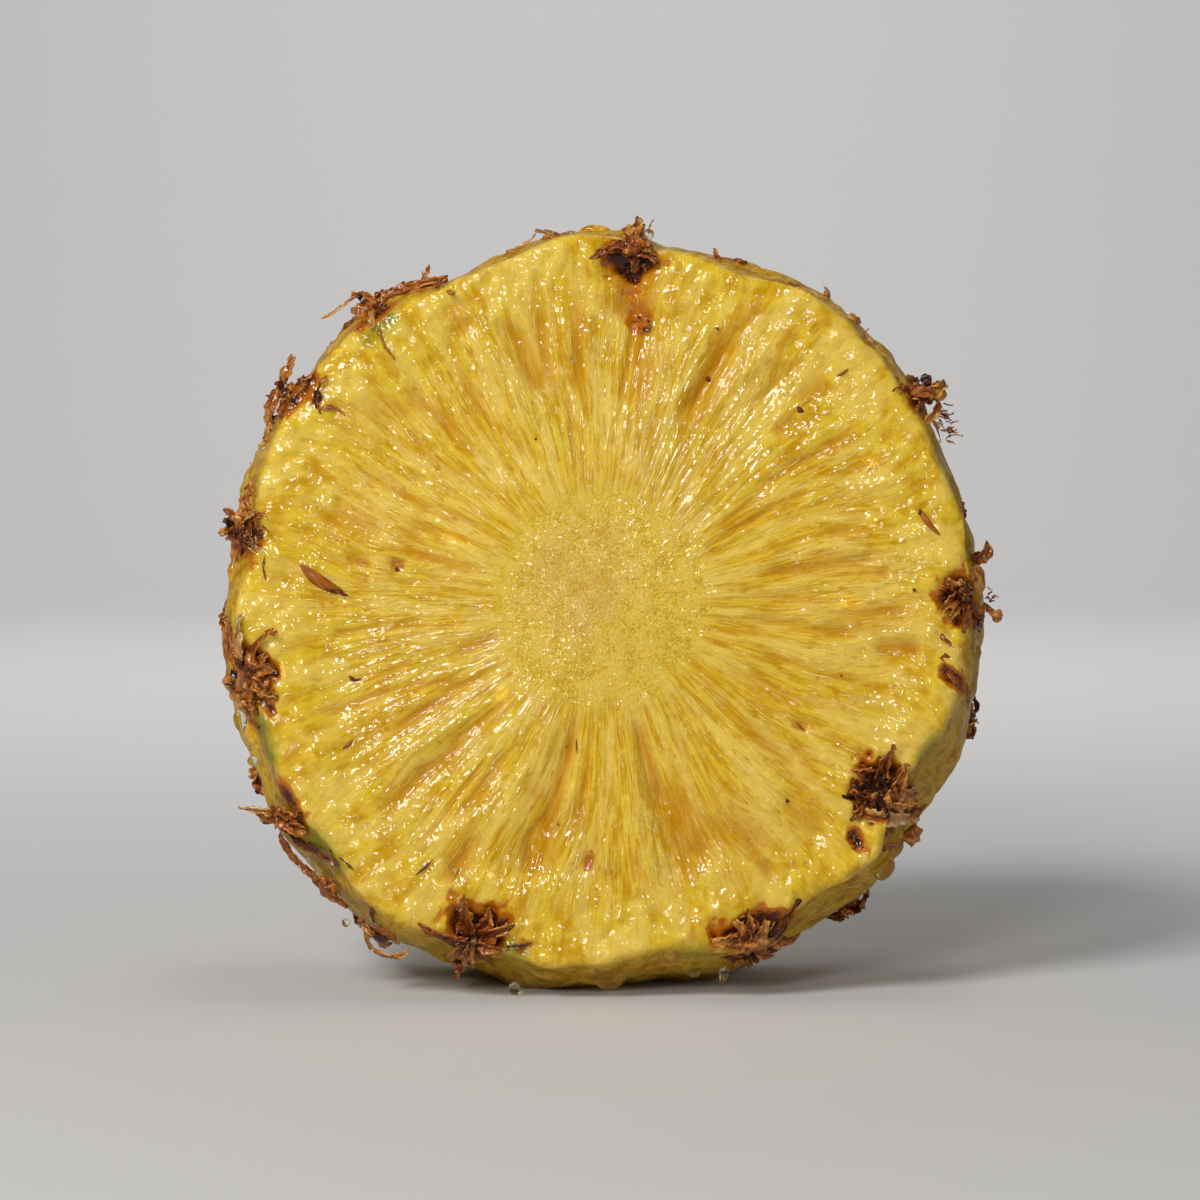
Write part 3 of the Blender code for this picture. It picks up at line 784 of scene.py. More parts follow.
@dataclass(frozen=True)
class FleshFinish:
    """Wet golden flesh: strands, deep splits with painted shade, a fuzzy core, and green and brown near the eyes."""

    golden: tuple[float, float, float] = (196, 146, 0)
    pale: tuple[float, float, float] = (220, 183, 40)
    cream: tuple[float, float, float] = (228, 194, 84)
    # glossy: the pale cream of the thin fibre lines, partly the sac walls' own colour and partly painted glints along
    # the fibres.
    glossy: tuple[float, float, float] = (244, 216, 128)
    # amber: the deep juice-soaked gold of seams and specks, and under the gap mask also painted shade in splits, pits
    # and hollows.
    amber: tuple[float, float, float] = (188, 126, 0)
    core_pale: tuple[float, float, float] = (222, 189, 64)
    core_tan: tuple[float, float, float] = (208, 163, 76)
    green: tuple[float, float, float] = (92, 112, 4)
    rust: tuple[float, float, float] = (178, 98, 6)
    brown: tuple[float, float, float] = (70, 26, 2)
    # rind: the darker amber of the rim side, partly the pared outer flesh's own tone and partly painted shade.
    rind: tuple[float, float, float] = (152, 104, 6)
    bark: tuple[float, float, float] = (98, 54, 8)

    def make(self) -> bpy.types.Material:
        """Builds the material.

        Returns:
            The finished flesh.
        """
        sheet = NodeSheet("flesh")
        strand = sheet.add("Attribute", {"attribute_name": "strand"}).outputs["Vector"]
        place = sheet.object_place()
        core, gap, cream = sheet.mask("core"), sheet.mask("gap"), sheet.mask("cream")
        green, brown = sheet.mask("green"), sheet.mask("brown")
        outer, rim = sheet.mask("outer"), sheet.mask("rim")
        broad = sheet.noise(sheet.scaled(strand, (13.0, 13.0, 5.0)), detail=1.0)
        middle = sheet.noise(sheet.scaled(strand, (40.0, 40.0, 9.0)), detail=1.0, rough=0.6)
        fine = sheet.noise(sheet.scaled(strand, (110.0, 110.0, 17.0)), detail=1.0, rough=0.6)
        patch = sheet.noise(place, scale=460.0, detail=1.0, rough=0.6)
        fuzz = sheet.noise(place, scale=2600.0, detail=1.0, rough=0.75)
        film = sheet.noise(sheet.scaled(strand, (46.0, 46.0, 13.0)), detail=0.0)
        dew = sheet.noise(place, scale=1300.0, detail=0.0)
        line = sheet.math("ABSOLUTE", sheet.math("SUBTRACT", fine, 0.5))
        line = sheet.spread(line, 0.0, 0.03, 1.0, 0.0)
        seam = sheet.math("ABSOLUTE", sheet.math("SUBTRACT", middle, 0.47))
        seam = sheet.spread(seam, 0.0, 0.035, 1.0, 0.0)

        streak = sheet.total((middle, 0.6), (fine, 0.4))
        smooth = sheet.total((patch, 0.8), (middle, 0.2))
        streak = sheet.mix_values(sheet.math("MULTIPLY", outer, 0.6), streak, smooth)
        ribbed = sheet.math("SUBTRACT", 1.0, sheet.total((core, 0.9), (outer, 0.6), clamp=True))
        flesh = sheet.mix(sheet.spread(streak, 0.36, 0.62), colour(*self.golden), colour(*self.pale))
        flesh = sheet.mix(sheet.spread(broad, 0.46, 0.62, 0.0, 0.7), flesh, colour(*self.cream))
        flesh = sheet.mix(sheet.math("MULTIPLY", cream, sheet.spread(fine, 0.35, 0.65, 0.5, 0.95)), flesh, colour(*self.cream))
        # Thin pale lines in the glossy colour along the fibres: partly the pale walls of the juice sacs, partly painted
        # glints.
        fibre_lines_and_painted_glints = sheet.math("MULTIPLY", sheet.math("MULTIPLY", line, ribbed), sheet.spread(patch, 0.36, 0.60, 0.1, 0.9))
        flesh = sheet.mix(fibre_lines_and_painted_glints, flesh, colour(*self.glossy))
        seams = sheet.math("MULTIPLY", sheet.math("MULTIPLY", seam, ribbed), sheet.spread(patch, 0.36, 0.62, 0.8, 0.15))
        flesh = sheet.mix(seams, flesh, colour(*self.amber))
        # Splits, pits and hollows in amber: partly the juice-soaked flesh's colour, partly painted shade.
        flesh = sheet.mix(sheet.math("MULTIPLY", gap, sheet.spread(streak, 0.4, 0.65, 1.0, 0.7)), flesh, colour(*self.amber))
        mottle = sheet.total((patch, 0.4), (fuzz, 0.3), (middle, 0.3))
        # The rim side in rind and bark: the bark veins are brown remains, the rind is partly the pared flesh's own tone
        # and partly painted shade.
        flesh = sheet.mix(sheet.math("MULTIPLY", rim, sheet.spread(mottle, 0.40, 0.58, 0.85, 0.3)), flesh, colour(*self.rind))
        flesh = sheet.mix(sheet.math("MULTIPLY", rim, sheet.spread(mottle, 0.54, 0.66, 0.0, 0.6)), flesh, colour(*self.bark))

        tan = sheet.total((patch, 1.6), (cream, 0.8), (None, -0.85), clamp=True)
        heart = sheet.mix(tan, colour(*self.core_pale), colour(*self.core_tan))
        # Specks in the core: amber ones of the core's own colour, and cream ones that are partly pale fuzz and partly
        # painted glints.
        specks_and_glints = sheet.noise(place, scale=3200.0, detail=1.0, rough=0.7)
        specks_and_glints = sheet.total((specks_and_glints, 0.6), (patch, 0.4))
        heart = sheet.mix(sheet.spread(specks_and_glints, 0.50, 0.38, 0.0, 0.6), heart, colour(*self.amber))
        heart = sheet.mix(sheet.spread(specks_and_glints, 0.49, 0.62, 0.0, 0.8), heart, colour(*self.cream))
        flesh = sheet.mix(sheet.math("MULTIPLY", core, sheet.spread(middle, 0.3, 0.6, 0.75, 1.0)), flesh, heart)
        flesh = sheet.mix(sheet.math("MULTIPLY", green, sheet.spread(patch, 0.3, 0.7, 0.5, 1.0)), flesh, colour(*self.green))
        bruise = sheet.total((brown, 1.0), (fuzz, 0.5), (patch, 0.5), (None, -0.5))
        bruise = sheet.math("MULTIPLY", bruise, sheet.spread(brown, 0.0, 0.2))
        flesh = sheet.mix(sheet.spread(bruise, 0.08, 0.42), flesh, colour(*self.rust))
        flesh = sheet.mix(sheet.spread(bruise, 0.42, 0.85), flesh, colour(*self.brown))

        height = sheet.math("MULTIPLY", sheet.math("MULTIPLY", middle, 0.28), ribbed)
        height = sheet.total((height, 1.0), (fuzz, 0.09), (patch, 0.45))
        height = sheet.total((height, 1.0), (sheet.math("MULTIPLY", fuzz, core), 0.22))
        along = sheet.math("MULTIPLY", film, sheet.math("SUBTRACT", 1.0, sheet.total((core, 0.85), (outer, 0.5), clamp=True)))
        beaded = sheet.math("MULTIPLY", dew, sheet.total((outer, 0.12), (core, 0.12), (None, 0.12)))
        wet = sheet.total((along, 0.48), (beaded, 1.0))

        shader = sheet.shader
        sheet.feed(shader.inputs["Base Color"], flesh)
        sheet.feed(shader.inputs["Roughness"], sheet.spread(streak, 0.3, 0.7, 0.45, 0.62))
        sheet.feed(shader.inputs["Normal"], sheet.bump(height, MM))
        sheet.feed(shader.inputs["Coat Normal"], sheet.bump(wet, MM))
        sheet.feed(shader.inputs["Coat Weight"], sheet.total((rim, -0.55), (None, 0.78)))
        shader.subsurface_method = "BURLEY"
        shader.inputs["Coat Roughness"].default_value = 0.03
        shader.inputs["Coat IOR"].default_value = 1.45
        shader.inputs["IOR"].default_value = 1.35
        shader.inputs["Specular IOR Level"].default_value = 0.1
        shader.inputs["Subsurface Weight"].default_value = 0.6
        shader.inputs["Subsurface Radius"].default_value = (1.0, 1.0, 0.3)
        shader.inputs["Subsurface Scale"].default_value = 0.0035
        return sheet.material


# ---------------------------------------------------------------- the body


@dataclass
class SliceBody:
    """The flesh and core as one closed body.

    Attributes:
        form: the fruit's form.
        place: the fruit's frame.
        front: the front cut face.
        back: the back cut face.
        steps: spin steps round the fruit.
        wedges: equal wedges that the steps are spun in.
    """

    form: FruitForm
    place: FruitFrame
    front: CutFace
    back: CutFace
    steps: int = 660
    wedges: int = 12

    def rings(self) -> tuple[Array, Array, Array]:
        """The rings of the drum's profile.

        Returns:
            Shares of the radius on the front face, depths on the rim, and shares on the back.
        """
        front = np.concatenate([
            np.linspace(0.0, 0.26, 12, endpoint=False), np.linspace(0.26, 0.45, 22, endpoint=False),
            np.linspace(0.45, 0.9, 44, endpoint=False), np.linspace(0.9, 1.0, 14, endpoint=False),
        ])
        rim = np.concatenate([
            np.linspace(0.0, 0.03, 4, endpoint=False), np.linspace(0.03, 0.4, 17, endpoint=False),
            np.linspace(0.4, 0.97, 13, endpoint=False), np.linspace(0.97, 1.0, 3),
        ])
        back = np.concatenate([np.linspace(0.0, 0.26, 4, endpoint=False), np.linspace(0.26, 1.0, 17, endpoint=False)])
        return front, rim, back

    def drum(self) -> bpy.types.Mesh:
        """A drum of unit radius, its front face at y = 0 and its back face at y = 1.

        A wedge is spun first and then copied round, which is far quicker than one long spin.
        """
        front, rim, back = self.rings()
        profile = [(share, 0.0) for share in front] + [(1.0, depth) for depth in rim]
        profile += [(share, 1.0) for share in back[::-1]]
        drum = bmesh.new()
        corners = [drum.verts.new((share, depth, 0.0)) for share, depth in profile]
        chain = [drum.edges.new(pair) for pair in zip(corners, corners[1:])]
        wedge = math.tau / self.wedges
        bmesh.ops.spin(
            drum, geom=corners + chain, cent=(0, 0, 0), axis=(0, 1, 0),
            angle=wedge, steps=self.steps // self.wedges,
        )
        bmesh.ops.spin(
            drum, geom=drum.verts[:] + drum.edges[:] + drum.faces[:], cent=(0, 0, 0), axis=(0, 1, 0),
            angle=math.tau - wedge, steps=self.wedges - 1, use_duplicate=True,
        )
        bmesh.ops.remove_doubles(drum, verts=drum.verts, dist=1e-5)
        bmesh.ops.recalc_face_normals(drum, faces=drum.faces)
        mesh = bpy.data.meshes.new("slice_flesh")
        drum.to_mesh(mesh)
        drum.free()
        return mesh

    def sculpt(self, mesh: bpy.types.Mesh) -> None:
        """Moves the drum's corners onto the slice and stores its looks on them."""
        count = len(mesh.vertices)
        flat = np.empty(count * 3)
        mesh.vertices.foreach_get("co", flat)
        x, depth, z = flat.reshape(-1, 3).T
        share = np.minimum(np.hypot(x, z), 1.0)
        angle = np.arctan2(x, z)
        edge = self.form.rim_radius(angle, depth)
        even = self.form.girth_radius * self.form.front_girth
        face_radius = share * (even + (edge - even) * smooth_step(0.2, 1.0, share))
        on_rim = share > 0.99999
        radius = np.where(on_rim, edge, face_radius)
        along = (depth - 0.5) * self.form.thickness
        sunk_front, looks = self.front.shape(angle, radius, share)
        sunk_back, looks_back = self.back.shape(angle, radius, share)
        fade = 1.0 - smooth_step(0.0, 0.05, depth)
        back_fade = 1.0 - smooth_step(0.0, 0.05, 1.0 - depth)
        along = along + sunk_front * fade - sunk_back * back_fade
        behind = (depth > 0.5).astype(float)
        ragged = 0.05 * Weave(60, 90, 0.9).at(angle, depth * self.form.thickness)
        for face_looks, inside in ((looks, depth), (looks_back, 1.0 - depth)):
            near = 1.0 - on_rim * smooth_step(0.02, 0.20, inside + ragged)
            for name in ("gap", "cream", "green", "brown"):
                setattr(face_looks, name, getattr(face_looks, name) * near)
        looks.rim = on_rim * smooth_step(0.0, 0.07, depth)
        looks_back.rim = on_rim * smooth_step(0.0, 0.07, 1.0 - depth)
        for name in Looks.FIELDS:
            mask = getattr(looks, name) * (1.0 - behind) + getattr(looks_back, name) * behind
            self.store(mesh, name, "FLOAT", np.clip(mask, 0.0, 1.0))
        strand = np.where(behind[:, None] > 0.5, looks_back.strand, looks.strand)
        strand[:, 2] += depth * 3.0
        self.store(mesh, "strand", "FLOAT_VECTOR", strand.ravel(), "vector")
        points = np.stack([radius * np.sin(angle), along, radius * np.cos(angle)], axis=-1)
        mesh.vertices.foreach_set("co", self.place.place(points).ravel())
        mesh.update()

    @staticmethod
    def store(mesh: bpy.types.Mesh, name: str, kind: str, values: Array, key: str = "value") -> None:
        """Stores numbers on the mesh's corners under a name."""
        mesh.attributes.new(name, kind, "POINT").data.foreach_set(key, values)

    def cut_foot(self, mesh: bpy.types.Mesh) -> None:
        """Cuts the flat foot that the slice stands on."""
        body = bmesh.new()
        body.from_mesh(mesh)
        cut = bmesh.ops.bisect_plane(
            body, geom=body.verts[:] + body.edges[:] + body.faces[:], dist=1e-6,
            plane_co=(0, 0, 0), plane_no=(0, 0, 1), clear_inner=True,
        )
        edges = [item for item in cut["geom_cut"] if isinstance(item, bmesh.types.BMEdge)]
        for corner in body.verts:
            corner.co.z = max(corner.co.z, 0.0)
        bmesh.ops.holes_fill(body, edges=edges)
        bmesh.ops.recalc_face_normals(body, faces=body.faces)
        body.to_mesh(mesh)
        body.free()

    def build(self) -> bpy.types.Object:
        """Makes, dresses and registers the body."""
        mesh = self.drum()
        self.sculpt(mesh)
        self.cut_foot(mesh)
        mesh.materials.append(FleshFinish().make())
        mesh.shade_smooth()
        body = bpy.data.objects.new("slice_flesh", mesh)
        bpy.context.scene.collection.objects.link(body)
        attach(body, "root")
        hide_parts(CAD_NODE)
        return body


# ---------------------------------------------------------------- places on the slice


@dataclass
class FaceGround:
    """A cut face as ground to lay pieces on: places are (across, up, lift).

    Attributes:
        face: the cut face.
        side: -1 for the front face, 1 for the back.
        deepest: how far the ground rolls back over the edge at most.
        map_reach: half the width of its height map.
        map_pitch: distance between the height map's points.
    """

    face: CutFace
    side: int = -1
    deepest: float = 5.0
    map_reach: float = 56.0
    map_pitch: float = 0.35

    def depths(self, across: Array, up: Array) -> Array:
        """The face's depth at each place, and past the edge the rim's, which rolls away.

        Args:
            across: places across the fruit.
            up: places up it.

        Returns:
            How far behind mid-thickness the ground lies there.
        """
        angle, radius = np.arctan2(across, up), np.hypot(across, up)
        form = self.face.form
        edge = form.rim_radius(angle, 0.5 + 0.5 * self.side)
        inside = np.minimum(radius, edge)
        sunk, _ = self.face.shape(angle, inside, inside / edge)
        past = radius > edge
        if past.any():
            roll = np.full(int(past.sum()), self.deepest)
            for back in np.linspace(self.deepest, 0.0, 16):
                rim = form.rim_radius(angle[past], 0.5 + self.side * (0.5 - back / form.thickness))
                roll = np.where(rim >= radius[past], back, roll)
            sunk[past] = roll
        return self.side * (0.5 * form.thickness - sunk)

    @cached_property
    def height_map(self) -> Array:
        """The ground's depth on a square grid, which is quicker to look up than to work out."""
        line = np.arange(-self.map_reach, self.map_reach + self.map_pitch, self.map_pitch)
        across, up = np.meshgrid(line, line, indexing="ij")
        return self.depths(across.ravel(), up.ravel()).reshape(across.shape)

    def point(self, place: tuple[float, float, float]) -> Vector:
        """The place as a point in the fruit's frame."""
        across, up, lift = place
        last = self.height_map.shape[0] - 1
        column, row = (min(last, max(0, round((part + self.map_reach) / self.map_pitch))) for part in (across, up))
        return Vector((across, float(self.height_map[column, row]) + self.side * lift, up))

    def facing(self, place: tuple[float, float, float]) -> Vector:
        """The way the ground faces there: straight out, and outwards near the edge."""
        across, up, _ = place
        radius = math.hypot(across, up)
        tilt = float(smooth_step(44.0, 52.0, np.array(radius)))
        return Vector((tilt * across / radius, self.side, tilt * up / radius)).normalized()


@dataclass
class RimGround:
    """The rim as ground to lay pieces on: places are (clock, depth from the middle, height)."""

    form: FruitForm

    @cached_property
    def radius_map(self) -> Array:
        """The rim's radius at every half degree and half millimetre of depth."""
        angles = np.radians(np.arange(0.0, 360.0, 0.5))
        depths = np.arange(0.0, self.form.thickness + 0.5, 0.5) / self.form.thickness
        return self.form.rim_radius(angles[:, None], depths[None, :])

    def point(self, place: tuple[float, float, float]) -> Vector:
        """The place as a point in the fruit's frame."""
        clock, depth, height = place
        row = min(self.radius_map.shape[1] - 1, max(0, round(2.0 * (depth + 0.5 * self.form.thickness))))
        radius = float(self.radius_map[round(2.0 * clock) % 720, row])
        return polar(clock, radius + height, depth)

    def facing(self, place: tuple[float, float, float]) -> Vector:
        """The way the rim faces there: straight away from the axis."""
        return polar(place[0], 1.0)


Ground = FaceGround | RimGround
Place = tuple[float, float, float]


# ---------------------------------------------------------------- dried eyes


@dataclass(frozen=True)
class DriedFinish:
    """Dried, brown, fibrous plant matter with paler tips, damp with juice."""

    darkest: tuple[float, float, float] = (52, 20, 6)
    brown: tuple[float, float, float] = (158, 76, 8)
    tan: tuple[float, float, float] = (214, 144, 54)
    pale: tuple[float, float, float] = (232, 200, 150)

    def make(self) -> bpy.types.Material:
        """Builds the material.

        Returns:
            The finished dried matter.
        """
        sheet = NodeSheet("dried_eye")
        shade = sheet.mask("shade")
        grain = sheet.add("Attribute", {"attribute_name": "grain"}).outputs["Vector"]
        place = sheet.object_place()
        fibre = sheet.noise(sheet.scaled(grain, (5.5, 0.6, 1.0)), detail=3.0, rough=0.65)
        clouds = sheet.noise(place, scale=900.0, detail=3.0)
        dew = sheet.noise(place, scale=1400.0, detail=0.0)
        wander = sheet.total((fibre, 0.75), (clouds, 0.5), (None, -0.62))
        level = sheet.total((shade, 1.0), (wander, 1.7))
        tone = sheet.mix(sheet.spread(level, -0.10, 0.34), colour(*self.darkest), colour(*self.brown))
        tone = sheet.mix(sheet.spread(level, 0.32, 0.70), tone, colour(*self.tan))
        tone = sheet.mix(sheet.spread(level, 0.70, 1.10), tone, colour(*self.pale))
        height = sheet.total((fibre, 0.35), (clouds, 0.35))
        shader = sheet.shader
        sheet.feed(shader.inputs["Base Color"], tone)
        sheet.feed(shader.inputs["Roughness"], sheet.spread(clouds, 0.3, 0.7, 0.5, 0.8))
        sheet.feed(shader.inputs["Normal"], sheet.bump(height, MM))
        sheet.feed(shader.inputs["Coat Normal"], sheet.bump(dew, 0.2 * MM))
        shader.inputs["Specular IOR Level"].default_value = 0.15
        shader.inputs["Coat Weight"].default_value = 0.9
        shader.inputs["Coat Roughness"].default_value = 0.05
        shader.inputs["Coat IOR"].default_value = 1.4
        return sheet.material


class Clay:
    """A bmesh in the fruit's millimetres that carries a shade and a grain on each corner."""

    def __init__(self) -> None:
        """Starts empty."""
        self.mesh = bmesh.new()
        self.shade = self.mesh.verts.layers.float.new("shade")
        self.grain = self.mesh.verts.layers.float_vector.new("grain")

    def finish(self, name: str, material: bpy.types.Material, place: FruitFrame, slot: str) -> bpy.types.Object:
        """Turns it into a registered piece.

        Args:
            name: the piece's name.
            material: its finish.
            place: the fruit's frame.
            slot: what kind of piece it is; juice casts no shadow.

        Returns:
            The piece.
        """
        bmesh.ops.recalc_face_normals(self.mesh, faces=self.mesh.faces)
        bmesh.ops.transform(self.mesh, matrix=place.matrix(), verts=self.mesh.verts)
        mesh = bpy.data.meshes.new(name)
        self.mesh.to_mesh(mesh)
        self.mesh.free()
        mesh.materials.append(material)
        mesh.shade_smooth()
        return add_piece(name, mesh, slot)


def add_piece(name: str, mesh: bpy.types.Mesh, slot: str) -> bpy.types.Object:
    """Adds a mesh to the scene as a piece that rides on the slice, and reports it.

    Clear juice casts no shadow, or the flesh under it would look burnt.
    """
    piece = bpy.data.objects.new(name, mesh)
    bpy.context.scene.collection.objects.link(piece)
    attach(piece, "root")
    piece.visible_shadow = slot != "juice"
    LOG.info("%s: %d faces", name, len(mesh.polygons))
    return piece


@dataclass(frozen=True)
class Shred:
    """A dried leaf-like strip: a bract, a sepal, a wisp or a hair.

    Attributes:
        root: where it starts, as a place on its ground.
        tip: where it ends.
        width: its greatest width.
        arch: how far its middle stands off the ground.
        bow: how far its middle bends to the side.
        shade: from 0, nearly black, to 1, pale straw.
        point: how much it tapers, 0 for blunt and 1 for a point.
        cup: how far its edges curl up, as a share of its width.
        twist: degrees that it turns from root to tip.
        thick: its thickness.
    """

    root: Place
    tip: Place
    width: float
    arch: float = 0.5
    bow: float = 0.0
    shade: float = 0.35
    point: float = 0.9
    cup: float = 0.3
    twist: float = 0.0
    thick: float = 0.22

    def profile(self, run: float) -> float:
        """The share of the width at a share of the length."""
        swell = 0.55 + 0.45 * math.sin(0.5 * math.pi * min(1.0, run / 0.45))
        return swell * (1.0 - self.point * run**1.7)

    def grow(self, clay: Clay, ground: Ground, seed: float) -> None:
        """Adds the strip to the clay.

        Args:
            clay: what it is added to.
            ground: what its places are on.
            seed: shifts its crumples.
        """
        start, end = ground.point(self.root), ground.point(self.tip)
        facing = ground.facing(self.root)
        reach = end - start
        length = reach.length
        side = reach.cross(facing).normalized()
        facing = side.cross(reach).normalized()
        bulge = facing * (2.0 * self.arch) + side * (2.0 * self.bow)
        columns = 6 if self.width > 0.9 else 2
        rows = max(6, min(24, round(length * 3.0)))
        grid = bmesh.ops.create_grid(clay.mesh, x_segments=columns, y_segments=rows, size=0.5)
        faces = list({face for corner in grid["verts"] for face in corner.link_faces})
        for corner in grid["verts"]:
            edge, run = 2.0 * corner.co.x, corner.co.y + 0.5
            ragged = 1.0 + 0.6 * noise.fractal(Vector((2.0 * edge, 8.0 * run, seed)), 0.8, 2.2, 3)
            across = 0.5 * self.width * edge * self.profile(run) * ragged
            turn = math.radians(self.twist) * run
            sideways = side * math.cos(turn) + facing * math.sin(turn)
            lifted = facing * math.cos(turn) - side * math.sin(turn)
            centre = start + reach * run + bulge * (2.0 * run * (1.0 - run))
            crumple = noise.noise_vector(Vector((2.5 * edge, 5.0 * run, seed))) * (0.12 + 0.14 * self.width)
            crumple += noise.noise_vector(Vector((7.0 * edge, 14.0 * run, seed))) * (0.04 + 0.09 * self.width)
            cup = self.cup * self.width * (edge * edge - 0.4) * self.profile(run)
            corner.co = centre + sideways * across + lifted * cup + crumple
            corner[clay.shade] = self.shade + 0.28 * (run - 0.45) + 0.06 * edge
            corner[clay.grain] = Vector((self.width * edge, length * run, seed))
        bmesh.ops.solidify(clay.mesh, geom=faces, thickness=self.thick)


@dataclass(frozen=True)
class Lump:
    """A knobbly lump of dried or torn matter.

    Attributes:
        middle: its place.
        size: its radii along the ground's first and second directions, and off the ground.
        shade: from 0, nearly black, to 1, pale straw.
        rough: how knobbly it is.
    """

    middle: Place
    size: tuple[float, float, float]
    shade: float = 0.4
    rough: float = 0.45

    def grow(self, clay: Clay, ground: Ground, seed: float) -> None:
        """Adds the lump to the clay."""
        centre, facing = ground.point(self.middle), ground.facing(self.middle)
        level = Vector((0, 0, 1)).cross(facing)
        level = level.normalized() if level.length > 0.1 else Vector((0, 1, 0))
        upward = facing.cross(level)
        ball = bmesh.ops.create_icosphere(clay.mesh, subdivisions=3, radius=1.0)
        for corner in ball["verts"]:
            unit = corner.co.copy()
            bumps = noise.fractal(unit * 1.6 + Vector((seed, 0, 0)), 0.9, 2.0, 4)
            swell = 1.0 + self.rough * bumps
            across, up, off = self.size
            corner.co = centre + swell * (
                -level * (unit.x * across) + upward * (unit.y * up) + facing * (unit.z * off)
            )
            corner[clay.shade] = self.shade + 0.45 * bumps
            corner[clay.grain] = Vector((2.0 * unit.x, 2.0 * unit.y, seed))


@dataclass(frozen=True)
class Tuft:
    """A tuft of short dried hairs.

    Attributes:
        middle: its place.
        spread: how far its roots scatter.
        length: how long its hairs are.
        count: how many there are.
        lean: the way they lean, as (across, up, lift) or (clock, depth, height).
        shade: from 0, nearly black, to 1, pale straw.
        width: a hair's width.
    """

    middle: Place
    spread: float
    length: float
    count: int
    lean: Place = (0.0, 0.0, 1.0)
    shade: float = 0.5
    width: float = 0.28

    def grow(self, clay: Clay, ground: Ground, seed: float) -> None:
        """Adds the hairs to the clay."""
        draw = random.Random(seed)
        for hair in range(self.count):
            root = tuple(part + draw.gauss(0.0, 0.5) * self.spread for part in self.middle[:2])
            stray = [draw.gauss(0.0, 0.45) + part for part in self.lean]
            size = self.length * draw.uniform(0.5, 1.1) / max(0.6, math.hypot(*stray))
            start = (*root, self.middle[2])
            end = tuple(part + size * way for part, way in zip(start, stray))
            Shred(
                start, end, self.width * draw.uniform(0.6, 1.5), arch=draw.uniform(-0.2, 0.3),
                bow=draw.uniform(-0.3, 0.3), shade=self.shade + draw.uniform(-0.22, 0.22), thick=0.12,
            ).grow(clay, ground, seed + hair * 1.7)


@dataclass(frozen=True)
class Thicket:
    """Torn scraps and crumbs that fill the middle of a cut-open eye.

    Attributes:
        middle: its place.
        spread: how far it reaches.
        count: how many scraps there are.
        shade: from 0, nearly black, to 1, pale straw.
    """

    middle: Place
    spread: float
    count: int
    shade: float = 0.3

    def grow(self, clay: Clay, ground: Ground, seed: float) -> None:
        """Adds the scraps to the clay."""
        draw = random.Random(seed)
        for scrap in range(self.count):
            way, out = draw.uniform(0.0, math.tau), 0.7 * self.spread * math.sqrt(draw.random())
            across, up = self.middle[0] + out * math.cos(way), self.middle[1] + out * math.sin(way)
            root = (across, up, self.middle[2] + draw.uniform(-0.1, 0.4))
            tone = self.shade + draw.uniform(-0.3, 0.4)
            if scrap % 3 == 0:
                size = draw.uniform(0.3, 0.8)
                Lump(root, (size, size * draw.uniform(0.6, 1.5), 0.8 * size), tone, 0.6).grow(clay, ground, seed + scrap)
                continue
            way += draw.gauss(0.0, 0.7)
            size = draw.uniform(0.25, 0.6) * self.spread
            tip = (across + size * math.cos(way), up + size * math.sin(way), root[2] + draw.uniform(-0.1, 0.6))
            Shred(
                root, tip, draw.uniform(0.4, 1.3), draw.uniform(0.0, 0.5), draw.uniform(-0.4, 0.4), tone,
                draw.uniform(0.4, 0.95), draw.uniform(0.2, 0.7), thick=0.14,
            ).grow(clay, ground, seed + scrap)


@dataclass(frozen=True)
class EyeRemains:
    """What is left of one eye, or of a run of dried rind.

    Attributes:
        name: the piece's name.
        parts: its shreds, lumps and tufts.
        ground: what their places are on.
    """

    name: str
    parts: tuple[Shred | Lump | Tuft | Thicket, ...]

    def build(self, ground: Ground, material: bpy.types.Material, place: FruitFrame) -> bpy.types.Object:
        """Makes the piece."""
        clay = Clay()
        seed = float(sum(ord(letter) for letter in self.name) % 97)
        for number, part in enumerate(self.parts):
            part.grow(clay, ground, seed + 3.1 * number)
        return clay.finish(self.name, material, place, "eye_bract")


